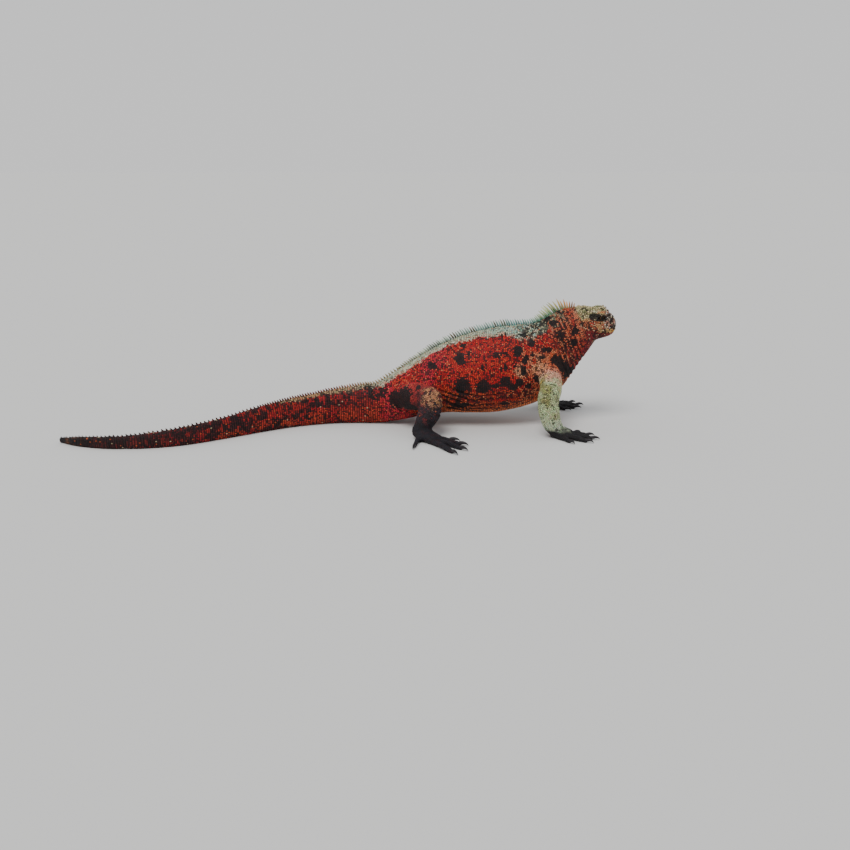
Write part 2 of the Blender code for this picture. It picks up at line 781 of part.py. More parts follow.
def add_crest(pieces):
    """A row of spines from the nape to the tail's tip, each rooted in the piece under it."""
    rng = random.Random(11)
    trees = {name: surface_of(pieces[name]) for name in CREST_NODES}
    steps = np.array(CREST_STEPS)
    spines = {name: [] for name in CREST_NODES}
    due = 0.0
    for distance, place, back in crest_line():
        if distance < due:
            continue
        height, pitch, length, lean = (np.interp(distance, steps[:, 0], steps[:, k]) for k in range(1, 5))
        clear = length / 2 + CREST_CLEAR
        seats = [crest_seat(trees, place + back * off) for off in (0, -clear, clear)]
        name, point, facing = seats[0]
        if name is None or any(seat[0] != name for seat in seats):
            continue
        due = distance + pitch * facing.z
        side = back.cross(Vector((0, 0, 1)))
        up = (facing - facing.project(side)).normalized()
        way = Matrix.Rotation(-math.radians(lean), 3, side) @ up
        point = point / MM
        tip = point + way * height * rng.uniform(0.92, 1.1) + side * rng.uniform(-0.04, 0.04) * height
        half_length, half_width = length / 2, length * CREST_THICK / 2
        root = point - way * CREST_ROOT
        spines[name].append(cone("spine", root, tip, back, half_length, half_width, CREST_SIDES))
    for name, made in spines.items():
        boolean(pieces[name], "UNION", made, "MANIFOLD")
        keep_largest(pieces[name])


def add_cone_scales(head):
    """The larger cone scales over the crown, the brows and the snout."""
    rng = random.Random(5)
    tree, made = surface_of(head), []
    pitch, span = CONES["pitch"], CONES["half_span"]
    for row, x in enumerate(np.arange(*CONES["rows"], pitch * 0.87)):
        for y in np.arange(-span + (row % 2) * pitch / 2, span, pitch):
            shift_x, shift_y = (rng.uniform(-CONE_JITTER, CONE_JITTER) for _ in range(2))
            size = rng.uniform(0.8, 1.15)
            start = Vector((x + shift_x, y + shift_y, ABOVE_ALL)) * MM
            point, facing, _, _ = tree.ray_cast(start, Vector((0, 0, -1)))
            if point is None or facing.z < STEEPEST:
                continue
            point = point / MM
            eye = mirrored(EYE["centre"], math.copysign(1, y))
            if (point - eye).length < EYE["radius"] + CONE_CLEAR:
                continue
            way = (facing + Vector((0.12, 0, 0.1))).normalized()
            radius = CONES["radius"] * size
            root, tip = point - facing * CONES["root"], point + way * CONES["height"] * size
            made.append(cone("cone_scale", root, tip, Vector((1, 0, 0)), radius, radius, 5))
    boolean(head, "UNION", made, "MANIFOLD")
    keep_largest(head)


def set_origin(obj):
    """Put an object's origin in the middle of its box, and its place into its location."""
    points = points_of(obj)
    middle = Vector((points.min(axis=0) + points.max(axis=0)) / 2) * MM
    obj.data.transform(Matrix.Translation(-middle))
    obj.location = middle


def settle(pieces):
    """Parent everything to an empty whose place brings the middle of the footprint to the origin."""
    points = np.vstack([points_of(obj) for obj in pieces.values()])
    low, high = points.min(axis=0), points.max(axis=0)
    animal = bpy.data.objects.new("iguana", None)
    bpy.context.scene.collection.objects.link(animal)
    animal.location = Vector((-(low[0] + high[0]) / 2, -(low[1] + high[1]) / 2, -low[2])) * MM
    for obj in pieces.values():
        set_origin(obj)
        obj.parent = animal


def give_material(obj, slot):
    """Paint an object with one of the named finishes."""
    material = bpy.data.materials.get(slot)
    if material is None:
        colour, roughness = COLOURS[slot]
        material = bpy.data.materials.new(slot)
        material.use_nodes = True
        shader = material.node_tree.nodes["Principled BSDF"]
        shader.inputs["Base Color"].default_value = (*colour, 1)
        shader.inputs["Roughness"].default_value = roughness
    obj.data.materials.clear()
    obj.data.materials.append(material)


def main():
    """Build the animal."""
    clear_scene()
    pieces = part_skin(make_skin())
    pieces.update(add_claws(pieces))
    pieces.update(add_eyes(pieces["head"]))
    carve_face(pieces["head"])
    add_cone_scales(pieces["head"])
    add_crest(pieces)
    settle(pieces)
    for name, obj in pieces.items():
        start = next(start for start in SLOT_OF if name.startswith(start))
        give_material(obj, SLOT_OF[start])


main()
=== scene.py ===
# %% [markdown]
# This lesson dresses a life-size marine iguana: skin, scales, crest, claws and eyes over a plain frame.
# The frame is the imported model. It says where everything is, so nothing here is fitted by hand.
# Sizes are in millimetres in the frame that the animal was drawn in, and SHIFT brings them to the model.

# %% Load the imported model
import json
import math

import bmesh
import bpy
import numpy as np
from mathutils import Matrix, Vector, kdtree
from mathutils.bvhtree import BVHTree

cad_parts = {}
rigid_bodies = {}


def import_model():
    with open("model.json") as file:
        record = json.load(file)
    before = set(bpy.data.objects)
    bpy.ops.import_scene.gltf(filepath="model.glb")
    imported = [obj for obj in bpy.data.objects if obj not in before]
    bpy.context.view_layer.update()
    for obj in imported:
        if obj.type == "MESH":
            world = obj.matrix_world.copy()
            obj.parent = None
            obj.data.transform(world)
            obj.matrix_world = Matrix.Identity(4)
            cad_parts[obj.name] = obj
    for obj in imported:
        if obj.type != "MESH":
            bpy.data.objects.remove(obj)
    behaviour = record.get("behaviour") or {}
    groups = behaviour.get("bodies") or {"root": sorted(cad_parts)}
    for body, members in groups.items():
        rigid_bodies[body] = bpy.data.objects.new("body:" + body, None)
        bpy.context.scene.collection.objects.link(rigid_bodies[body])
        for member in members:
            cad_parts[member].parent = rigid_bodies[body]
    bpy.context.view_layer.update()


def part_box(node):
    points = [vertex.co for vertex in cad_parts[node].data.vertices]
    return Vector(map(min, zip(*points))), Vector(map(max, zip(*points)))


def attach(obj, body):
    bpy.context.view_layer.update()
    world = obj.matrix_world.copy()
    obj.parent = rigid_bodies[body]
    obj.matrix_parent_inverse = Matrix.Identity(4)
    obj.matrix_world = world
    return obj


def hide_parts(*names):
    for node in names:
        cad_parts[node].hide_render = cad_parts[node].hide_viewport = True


for obj in list(bpy.data.objects):
    bpy.data.objects.remove(obj)
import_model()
MM = 0.001
SIDES = {"right": -1.0, "left": 1.0}
EYE = {"centre": (237.5, 14.2, 163.0), "radius": 6.1}
low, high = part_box("eye_right")
SHIFT = np.array((low + high) / 2) / MM - np.array(EYE["centre"]) * (1, -1, 1)
rng = np.random.default_rng(7)
print("the drawing lies", SHIFT.round(2), "mm from the model's origin")

# %% [markdown]
# The camera stands where the photographer did: a little above the animal, level with its middle, looking
# down by about fourteen degrees from one and a half metres away. A shift of the lens keeps the picture's
# framing without turning the camera.

# %% Place the camera
PICTURE = 850  # the picture's width and height in pixels
LENS_PIXELS = 971  # how many of its pixels a metre at one metre's distance takes
AIM_PIXEL = (440, 409)  # where the camera's own axis meets the picture
PITCH = math.radians(14.4)
DISTANCE = 1481.0
AIM_HEIGHT = 20.0

camera = bpy.data.objects.new("camera", bpy.data.cameras.new("camera"))
bpy.context.scene.collection.objects.link(camera)
place = np.array((0, -DISTANCE * math.cos(PITCH), AIM_HEIGHT + DISTANCE * math.sin(PITCH)))
camera.location = (place + SHIFT) * MM
camera.rotation_euler = (math.radians(90) - PITCH, 0, 0)
camera.data.sensor_width = 36
camera.data.lens = 36 * LENS_PIXELS / PICTURE
camera.data.shift_x = (PICTURE / 2 - AIM_PIXEL[0]) / PICTURE
camera.data.shift_y = (AIM_PIXEL[1] - PICTURE / 2) / PICTURE
camera.data.clip_end = 60
bpy.context.scene.camera = camera
print("camera at", tuple(round(v, 3) for v in camera.location))

# %% [markdown]
# The body is drawn first as a few rows of numbers, as a sculptor sets up an armature: sections of tail,
# trunk, neck and head, and the line of each limb. A smooth curve runs through every row, and a loft skins
# the rows. These are the frame's own sizes, so that the skin ends up just inside its solids.

# %% Sizes of trunk, tail and head
# Trunk and neck sections: crest point x, z; belly point x, z; half width; level of the widest place
TRUNK = (
    (-49, 91, -62, 4.0, 33, 0.46),
    (-12, 113.5, -22, 12.0, 42, 0.44),
    (22, 130, 10, 16.5, 49, 0.42),
    (54, 140, 50, 16.5, 53, 0.42),
    (86, 146.5, 88, 18.0, 53, 0.43),
    (115, 150.5, 124, 25.0, 49, 0.45),
    (141, 153.5, 160, 39.0, 42, 0.48),
    (159, 161, 187, 59.0, 36, 0.50),
    (177, 171, 208, 91.0, 31, 0.50),
    (191, 174, 222, 111.5, 27.5, 0.50),
    (201, 175, 231, 125.0, 23, 0.50),
)
TRUNK_POWER = 2.15
# Tail: distance from the vent, depth, width, heading in degrees
TAIL = (
    (34, 63, 46, 0),
    (80, 56, 34, 7),
    (120, 50, 28, 17),
    (163, 45, 23, 29),
    (233, 37, 18, 40),
    (310, 29.5, 13.5, 34),
    (400, 22, 10, 6),
    (480, 15.5, 7.5, -22),
    (522, 9.5, 5.5, -36),
)
VENT_X = -61.0
SINK = 1.0  # how far the tail's round sections sink into the floor's level before the sole of the skin is cut
PATH_STEP = 2.0
# Head sections: x, crown z, chin z, half width
HEAD = (
    (186, 169, 120, 21),
    (199, 176, 119, 26),
    (211, 177.5, 121.5, 27.5),
    (223, 176, 125.5, 25),
    (234, 174.5, 128.5, 22),
    (244, 171.5, 131, 19.5),
    (252, 167.5, 134, 17.5),
    (257.5, 162, 138, 14.0),
    (261, 155.5, 144.5, 8.0),
)
HEAD_POWER = 2.5
# Lumps on the head: centre, with y outwards, and radii
HEAD_LUMPS = {
    "jowl": ((206, 17, 137), (17, 11.5, 16)),
    "lid": ((237.5, 13.6, 163), (9.2, 8.2, 7.6)),
    "brow": ((238, 12.0, 171.5), (11.5, 6.5, 5.6)),
    "nostril_rim": ((253, 9.2, 162.5), (4.8, 4.6, 4.6)),
    "lip": ((241, 13.6, 143.0), (14, 4.6, 5.0)),
}
print("sections:", len(TRUNK), "of the trunk,", len(TAIL), "of the tail and", len(HEAD), "of the head")

# %% [markdown]
# Each limb is a line of round sections from the body to the wrist or ankle. The foot is a flat palm, and
# the toes fan out from it, each with its own length and turn. An iguana's hind toes differ much in length,
# and the fourth is the longest, so one row of numbers for each toe says more than any rule.

# %% Sizes of the limbs
# Limbs: x, y outwards, z, radius
FORELEG = (
    (156, 20, 86, 20),
    (161, 42, 79, 18.5),
    (161, 64, 68, 16.8),
    (155, 83, 53, 15.8),
    (156.5, 88, 37, 15.3),
    (162, 88, 20, 13.2),
    (169, 87, 11.5, 11.0),
)
HINDLEG = (
    (-54, 14, 46, 21),
    (-46, 32, 49, 22),
    (-28, 56, 53, 20.5),
    (-13, 79, 53, 17.5),
    (-15, 89, 38, 16.8),
    (-22, 93, 24, 14.5),
    (-27, 95, 13.5, 11.5),
)
# Feet: distance ahead of the wrist, middle z, half width, half thickness
PALM = ((-9, 12, 11, 11), (2, 9.5, 13, 9.5), (12, 7.2, 14.5, 7.6), (20, 5.8, 13.5, 6.4))
INSTEP = ((-10, 12, 11.5, 11), (4, 9.0, 13.0, 9), (20, 7.2, 14.5, 7.4), (34, 5.8, 13.0, 6.2))
PALM_POWER = 2.3
# Digits: start ahead of the wrist, start outwards, yaw outwards in degrees, length, thickness
FORE_DIGITS = (
    (8, -10, -44, 21, 8.0),
    (16, -7, -20, 28, 8.4),
    (19, 0, -2, 33, 8.6),
    (16, 7, 16, 31, 8.4),
    (7, 11, 42, 22, 7.8),
)
HIND_DIGITS = (
    (20, -10, -36, 24, 7.8),
    (29, -8, -19, 36, 8.4),
    (33, -1, -5, 47, 8.8),
    (31, 7, 9, 54, 8.8),
    (6, 11, 50, 34, 8.0),
)
# Sections of a toe: share of its length, then radius and height as shares of its thickness
TOE_ROOT = (8.0, 0.55, 0.36)  # this one lies 8 mm back inside the palm
TOE = ((0, 0.54, 0.385), (0.40, 0.50, 0.535), (0.72, 0.47, 0.385), (0.92, 0.42, 0.22), (1, 0.30, 0.185))
# The heading of a foot is in degrees; a claw has a length and a radius
LIMBS = {
    "fore": {"line": FORELEG, "foot": PALM, "digits": FORE_DIGITS, "heading": 16.0, "claw": (11.0, 2.5)},
    "hind": {"line": HINDLEG, "foot": INSTEP, "digits": HIND_DIGITS, "heading": 48.0, "claw": (13.0, 2.7)},
}
# How far each foot stands ahead of the drawn place, and how it turns outwards
STANCE = {
    ("fore", "right"): (0, 0),
    ("fore", "left"): (4, -4),
    ("hind", "right"): (0, 0),
    ("hind", "left"): (-15, 8),
}
# Places where one form flows into the next: x, y outwards, z, reach
BLENDS = (
    (161, 44, 80, 34),
    (-38, 40, 50, 36),
    (196, 0, 148, 52),
    (229, 0, 125, 30),
    (168, 87, 12, 15),
    (-25, 95, 14, 16),
    (-75, 0, 40, 40),
)
print("toes:", sum(len(limb["digits"]) for limb in LIMBS.values()) * len(SIDES))

# %% [markdown]
# A loft is a row of rings with faces between them. Blender can loft curves as well, but rings that are
# computed here follow exactly the same formula as the frame's own, and that keeps the skin inside it.


# %% Helpers that loft the forms
def smooth_rows(rows, steps):
    """Rows between the given ones, on a Catmull-Rom curve through every row."""
    rows = np.array(rows, float)
    padded = np.vstack((2 * rows[0] - rows[1], rows, 2 * rows[-1] - rows[-2]))
    a, b, c, d = (padded[k : len(padded) - 3 + k, None] for k in range(4))
    t = (np.arange(steps) / steps)[None, :, None]
    made = b + 0.5 * t * (c - a + t * (2 * a - 5 * b + 4 * c - d + t * (3 * (b - c) + d - a)))
    return np.vstack((made.reshape(-1, rows.shape[1]), rows[-1]))


def section(middle, side, up, half_width, above, below, power, count):
    """A closed ring: a superellipse that is taller or flatter above its middle than below."""
    angle = 2 * np.pi * np.arange(count) / count
    c, s = np.cos(angle), np.sin(angle)
    across = half_width * np.sign(c) * np.abs(c) ** (2 / power)
    rise = np.where(s > 0, above, below) * np.sign(s) * np.abs(s) ** (2 / power)
    return np.array(middle) + np.outer(across, side) + np.outer(rise, up)


def loft(bm, rings):
    """Skin a row of rings and close both ends."""
    loops = [[bm.verts.new(p) for p in ring] for ring in rings]
    for a, b in zip(loops, loops[1:]):
        for k in range(len(a)):
            n = (k + 1) % len(a)
            bm.faces.new((a[k], a[n], b[n], b[k]))
    bm.faces.new(loops[0])
    bm.faces.new(loops[-1])


def tube(bm, rows, steps, count):
    """Loft round rings along rows of x, y, z and radius."""
    rows = smooth_rows(rows, steps)
    ahead = np.gradient(rows[:, :3], axis=0)
    rings = []
    for row, way in zip(rows, ahead):
        way = Vector(way).normalized()
        side = way.cross(Vector((0, 0, 1))).normalized()
        rings.append(section(row[:3], side, side.cross(way), row[3], row[3], row[3], 2, count))
    loft(bm, rings)


print("a loft between two rings of 64 points has", 64 + 2, "faces")

# %% [markdown]
# The tail lies on the ground in a long bend, so its middle line is found by walking: a short step, a small
# turn, and so on. The sections of tail and trunk then stand along one line, from the tip to the neck.


# %% The line of tail and trunk
def tail_path():
    """The tail's middle line on the ground plan: rows of distance from the vent, x, y and turn."""
    rows = np.array(TAIL, float)
    distance = np.arange(0, rows[-1, 0] + 2 * PATH_STEP, PATH_STEP)
    turn = np.radians(np.interp(distance, rows[:, 0], rows[:, 3]))
    x = VENT_X - PATH_STEP * np.concatenate(([0], np.cumsum(np.cos(turn))[:-1]))
    y = -PATH_STEP * np.concatenate(([0], np.cumsum(np.sin(turn))[:-1]))
    return np.column_stack((distance, x, y, turn))


TAIL_PATH = tail_path()


def body_rows():
    """Every section from the tail's tip to the neck, as numbers that can be smoothed."""
    rows = []
    for distance, depth, width, heading in smooth_rows(TAIL, 3):
        x, y = (np.interp(distance, TAIL_PATH[:, 0], TAIL_PATH[:, k]) for k in (1, 2))
        rows.append((x, y, depth / 2 - SINK, 0, 1, heading, depth / 2, depth / 2, width / 2, 2.0))
    rows.reverse()
    for top_x, top_z, low_x, low_z, half_width, level in TRUNK:
        up = np.array((top_x - low_x, top_z - low_z))
        height = np.linalg.norm(up)
        x, z = np.array((low_x, low_z)) + up * level
        ends = (height * (1 - level), height * level)
        rows.append((x, 0, z, *(up / height), 0, *ends, half_width, TRUNK_POWER))
    return np.array(rows)


def body_ring(row, count):
    """One section of the body as a ring of points."""
    x, y, z, up_x, up_z, heading, above, below, half_width, power = row
    turn = math.radians(heading)
    up = np.array((up_x, 0, up_z)) / math.hypot(up_x, up_z)
    side = (-math.sin(turn), math.cos(turn), 0)
    return section((x, y, z), side, up, half_width, above, below, power, count)


print("rows of the body:", len(body_rows()), "tail path", round(TAIL_PATH[-1, 0]), "mm")


# %% The lines of limbs and toes
def foot_frame(limb, side):
    """The wrist or ankle that a foot starts from, and its forward and outward directions."""
    ahead, turn = STANCE[limb, side]
    way, wrist = SIDES[side], LIMBS[limb]["line"][-1]
    angle = math.radians(LIMBS[limb]["heading"] + turn)
    start = np.array((wrist[0] + ahead, way * wrist[1], 0))
    forward = np.array((math.cos(angle), way * math.sin(angle), 0))
    return start, forward, np.array((-math.sin(angle), way * math.cos(angle), 0))


def digit_line(limb, side, digit):
    """The start, direction, length and thickness of one toe."""
    start, forward, outward = foot_frame(limb, side)
    ahead, across, yaw, length, thick = digit
    turn = math.radians(yaw)
    direction = forward * math.cos(turn) + outward * math.sin(turn)
    return start + forward * ahead + outward * across, direction, length, thick


def limb_line(limb, side):
    """The line of a limb on one side, moved with its foot's stance."""
    rows = np.array(LIMBS[limb]["line"], float)
    share = np.clip((np.arange(len(rows)) - 1) / (len(rows) - 2), 0, 1)
    rows[:, 0] += share * STANCE[limb, side][0]
    rows[:, 1] *= SIDES[side]
    return rows


print("the right wrist stands at", foot_frame("fore", "right")[0])

# %% [markdown]
# The real skin is one unbroken sheet, so all forms are put into one mesh and a voxel remesh melts them
# together. A few strokes of smoothing, strong only where one form flows into the next, take out the creases
# that lofts leave where they cross. The head gets finer faces afterwards, since lids and lips need them.

# %% Put all forms into one mesh
def add_forms(bm):
    """Loft the body, the head with its lumps, and the four limbs with their toes."""
    loft(bm, [body_ring(row, 64) for row in smooth_rows(body_rows(), 4)])
    rings = []
    for x, top, bottom, half_width in smooth_rows(HEAD, 6):
        half, middle = (top - bottom) / 2, (x, 0, (top + bottom) / 2)
        rings.append(section(middle, (0, 1, 0), (0, 0, 1), half_width, half, half, HEAD_POWER, 64))
    loft(bm, rings)
    for (x, y, z), radii in HEAD_LUMPS.values():
        for way in SIDES.values():
            form = Matrix.Translation((x, way * y, z)) @ Matrix.Diagonal((*radii, 1))
            bmesh.ops.create_uvsphere(bm, u_segments=32, v_segments=16, radius=1, matrix=form)
    for limb, side in STANCE:
        tube(bm, limb_line(limb, side), 6, 32)
        start, forward, outward = foot_frame(limb, side)
        rings = []
        for reach, middle, half_width, half in smooth_rows(LIMBS[limb]["foot"], 4):
            centre = start + forward * reach + (0, 0, middle)
            rings.append(section(centre, outward, (0, 0, 1), half_width, half, half, PALM_POWER, 32))
        loft(bm, rings)
        for digit in LIMBS[limb]["digits"]:
            origin, direction, length, thick = digit_line(limb, side, digit)
            stations = [(-TOE_ROOT[0], *TOE_ROOT[1:])] + [(s * length, r, h) for s, r, h in TOE]
            rows = []
            for reach, radius, rise in stations:
                spot = origin + direction * reach
                rows.append((spot[0], spot[1], rise * thick, radius * thick))
            tube(bm, rows, 4, 20)


bm = bmesh.new()
add_forms(bm)
bmesh.ops.recalc_face_normals(bm, faces=bm.faces)
bm.transform(Matrix.Scale(MM, 4))
skin = bpy.data.objects.new("iguana_skin", bpy.data.meshes.new("iguana_skin"))
bm.to_mesh(skin.data)
bm.free()
bpy.context.scene.collection.objects.link(skin)
print("forms with", len(skin.data.polygons), "faces")

# %% Melt them into one skin
VOXEL = 2.0  # the grid of the remesh
SMOOTHING = 19  # passes of smoothing
FAINT = 0.2  # how strong they are away from the places where forms meet


def apply_modifiers(obj):
    """Keep what an object's modifiers make as its own mesh."""
    graph = bpy.context.evaluated_depsgraph_get()
    mesh = bpy.data.meshes.new_from_object(obj.evaluated_get(graph))
    obj.modifiers.clear()
    obj.data = mesh


def points_of(obj):
    """An object's points as rows of millimetres."""
    points = np.empty(len(obj.data.vertices) * 3)
    obj.data.vertices.foreach_get("co", points)
    return points.reshape(-1, 3) / MM


def smooth_object(obj, weight, passes):
    """Smooth an object, each point by its own weight."""
    group = obj.vertex_groups.new(name="blend")
    steps = np.round(weight, 1)
    for level in np.unique(steps):
        group.add(np.nonzero(steps == level)[0].tolist(), float(level), "REPLACE")
    smooth = obj.modifiers.new("flow", "SMOOTH")
    smooth.vertex_group = group.name
    smooth.factor = 0.5
    smooth.iterations = passes
    apply_modifiers(obj)
    obj.vertex_groups.clear()


def blend_weight(points):
    """How strongly the skin is smoothed: most where forms meet."""
    weight = np.full(len(points), FAINT)
    for x, y, z, reach in BLENDS:
        for way in SIDES.values():
            away = np.linalg.norm(points - (x, way * y, z), axis=1) / reach
            weight = np.maximum(weight, np.clip(1.4 * (1 - away), 0, 1))
    return weight


remesh = skin.modifiers.new("one_surface", "REMESH")
remesh.mode = "VOXEL"
remesh.voxel_size = VOXEL * MM
apply_modifiers(skin)
smooth_object(skin, blend_weight(points_of(skin)), SMOOTHING)
print("skin of", len(skin.data.polygons), "faces")


# %% Give the head finer faces
FACE_WAY = (0.93, 0, 0.36)  # square to the plane between neck and head


def finer(obj, wanted):
    """Split every edge whose middle is wanted, so that the faces there get half the size."""
    bm = bmesh.new()
    bm.from_mesh(obj.data)
    middles = np.array([(e.verts[0].co + e.verts[1].co) / 2 for e in bm.edges]) / MM
    chosen = wanted(middles)
    edges = [e for e, yes in zip(bm.edges, chosen) if yes]
    bmesh.ops.subdivide_edges(bm, edges=edges, cuts=1, use_grid_fill=True)
    bm.to_mesh(obj.data)
    bm.free()


def folded(points):
    """The points folded over to one side of the body, with y counted outwards."""
    return np.column_stack((points[:, 0], np.abs(points[:, 1]), points[:, 2]))


def away_from(points, centre):
    """Distance to a place on the nearer side of the body, given with y outwards."""
    return np.linalg.norm(folded(points) - np.array(centre), axis=1)


MOUTH = {"z": 146.8, "corner_x": 223.5, "dip_x": 246, "dip": 1.3}
NOSTRIL = (255.6, 163.6)
NOSTRIL_SIZE = (2.0, 2.6, 1.7)
EARDRUM = (206.8, 152.3)
EAR_SIZE = (2.7, 3.6, 4.2)
EAR_CLEAR = (2.7, 5.0, 4.2)  # no scale stands inside this


def mouth_level(x):
    """The height of the line of the mouth."""
    share = np.clip((MOUTH["dip_x"] - x) / (MOUTH["dip_x"] - MOUTH["corner_x"]), 0, 1.2)
    return MOUTH["z"] - MOUTH["dip"] * np.sin(np.pi * share)


finer(skin, lambda p: (p @ FACE_WAY > 243) & (p[:, 0] > 192))
finer(
    skin,
    lambda p: (away_from(p, EYE["centre"]) < 13)
    | ((np.abs(p[:, 2] - mouth_level(p[:, 0])) < 2.2) & (p[:, 0] > MOUTH["corner_x"] - 2)),
)
head_part = (points_of(skin)[:, 0] > 196).astype(float)
smooth_object(skin, head_part * 0.8, 3)
print("skin of", len(skin.data.polygons), "faces")

# %% [markdown]
# Now the skin is sculpted in code: each point moves along its normal by an amount that a short formula
# gives. The mouth is a groove with lips on both sides, the lids stand round an opening that is pushed in
# behind the eyeball, and the neck and the flanks get the folds of a heavy old male. Value noise, which is
# random numbers on a lattice with smooth steps between them, keeps it from looking turned on a lathe.

# %% Noise and soft steps
LATTICE = np.random.default_rng(3).random(4096)


def noise(points, size, layer=0):
    """Smooth random values from 0 to 1 whose bumps are about as wide as size."""
    q = points / size + 31.7 * layer
    cell = np.floor(q).astype(np.int64)
    f = q - cell
    f = f * f * (3 - 2 * f)
    total = np.zeros(len(points))
    for corner in range(8):
        step = np.array((corner & 1, corner >> 1 & 1, corner >> 2))
        key = (cell + step) @ np.array((73856093, 19349663, 83492791))
        share = np.prod(np.where(step, f, 1 - f), axis=1)
        total += share * LATTICE[(key ^ (key >> 13)) & 4095]
    return total


def soft(a, b, value):
    """A soft step from 0 at a to 1 at b."""
    t = np.clip((value - a) / (b - a), 0, 1)
    return t * t * (3 - 2 * t)


def bell(value, width):
    """A bump of height 1 round zero."""
    return np.exp(-((value / width) ** 2))


TAIL_TOP = [(VENT_X - distance, depth) for distance, depth, _, _ in TAIL[2::-1]]
TOP_LINE = smooth_rows(TAIL_TOP + [row[:2] for row in TRUNK], 6)
LOW_LINE = smooth_rows([row[2:4] for row in TRUNK], 6)


def top_of(x):
    """The height of the back's middle line."""
    return np.interp(x, TOP_LINE[:, 0], TOP_LINE[:, 1])


def belly_of(x):
    """The height of the belly's middle line."""
    return np.interp(x, LOW_LINE[:, 0], LOW_LINE[:, 1])


def normals_of(obj):
    """An object's point normals."""
    normals = np.empty(len(obj.data.vertices) * 3)
    obj.data.vertex_normals.foreach_get("vector", normals)
    return normals.reshape(-1, 3)


# %% Folds of neck and flank
NECK_WAY = np.array((0.914, 0, 0.405))
FOLD_PITCH = 6.2  # from one ring fold of the neck to the next
# Folds between flank and belly, each a line of x and z that runs from the hip towards the arm
FLANK_FOLDS = (
    ((-6, 62), (7, 56), (44, 46), (88, 49), (133, 46), (150, 50)),
    ((-12, 56), (7, 50), (44, 37), (80, 39), (112, 38)),
    ((8, 66), (30, 57), (60, 53), (100, 57), (128, 58)),
    ((-14, 47), (10, 42), (35, 31), (70, 31), (102, 31)),
    ((-12, 38), (10, 33), (40, 25), (78, 24)),
)


def fold_line(points, start, end):
    """Distance to a line between two places, given with y outwards."""
    p = folded(points)
    start, end = np.array(start, float), np.array(end, float)
    way = end - start
    t = np.clip((p - start) @ way / (way @ way), 0, 1)
    return np.linalg.norm(p - start - t[:, None] * way, axis=1)


def neck_folds(points):
    """How deep the ring folds of neck and throat are: 0 on the ridges, 1 in the creases."""
    along = points @ NECK_WAY + 5 * noise(points, 22, 1)
    wave = 0.5 - 0.5 * np.cos(2 * np.pi * along / FOLD_PITCH)
    zone = soft(196, 206, points @ NECK_WAY) * soft(243, 233, points @ FACE_WAY)
    return zone * wave * (0.35 + 0.65 * noise(points, 12, 2))


def flank_folds(points):
    """How deep the long folds between flank and belly are."""
    x, z = points[:, 0], points[:, 2] + 3 * (noise(points, 24, 4) - 0.5)
    depth = np.zeros(len(points))
    for line in FLANK_FOLDS:
        line = np.array(line, float)
        start, end = line[0, 0], line[-1, 0]
        depth += bell(z - np.interp(x, *line.T), 1.5) * soft(start, start + 18, x) * soft(end, end - 26, x)
    fading = 1 - 0.6 * soft(50, 95, x)
    return depth * fading * (0.6 + 0.4 * noise(points, 26, 5)) * (np.abs(points[:, 1]) > 12)


print("folds on each flank:", len(FLANK_FOLDS))

# %% Eye, nostril and ear
SLIT = (5.0, 2.7)  # half length and half height of the opening between the lids
SLIT_POWER = 1.7  # below 2, it comes to a point at both corners


def eye_spread(points):
    """How far a point seen from the side lies from the eye's middle, 1 on the rim of the lids."""
    dx, dz = points[:, 0] - EYE["centre"][0], points[:, 2] - EYE["centre"][2]
    long, tall = SLIT
    return (np.abs(dx / long) ** SLIT_POWER + np.abs(dz / tall) ** SLIT_POWER) ** (1 / SLIT_POWER)


def pit_spread(points, tree, place, radii):
    """How far a point lies from the middle of a nostril or eardrum, 1 on its rim."""
    x, z = place
    hit = tree.ray_cast(Vector((x, 100, z)), Vector((0, -1, 0)))[0]
    return np.linalg.norm((folded(points) - np.array(hit)) / radii, axis=1)


def tree_of(obj):
    """A search tree over an object's faces, in millimetres."""
    faces = [tuple(p.vertices) for p in obj.data.polygons]
    return BVHTree.FromPolygons([tuple(p) for p in points_of(obj)], faces)


print("an eye's corner at", eye_spread(np.array([EYE["centre"]]) + (SLIT[0], 0, 0)), "of the rim")

# %% [markdown]
# One function now adds up all strokes, as a sculptor goes over the clay. The skin first sinks by the depth
# of its coat, so that the scales end where the frame's surface is. Then come swells, folds, the keel of the
# back, lips, nostrils, ears and lids. Doing it in one pass keeps every stroke square to the same surface.

# %% Sculpt the skin
COAT = 0.75  # how deep the skin lies below the tips of the scales
SOLE = 0.45  # how high the flat soles of the skin lie, as their scales reach the ground
SHOULDER_FOLD = ((160, 39, 116), (192, 24, 78))
VENT_AT = VENT_X - 14  # the slit of the vent, crosswise under the root of the tail
BEHIND_BALL = 1.4  # how far behind the eyeball's surface the skin passes


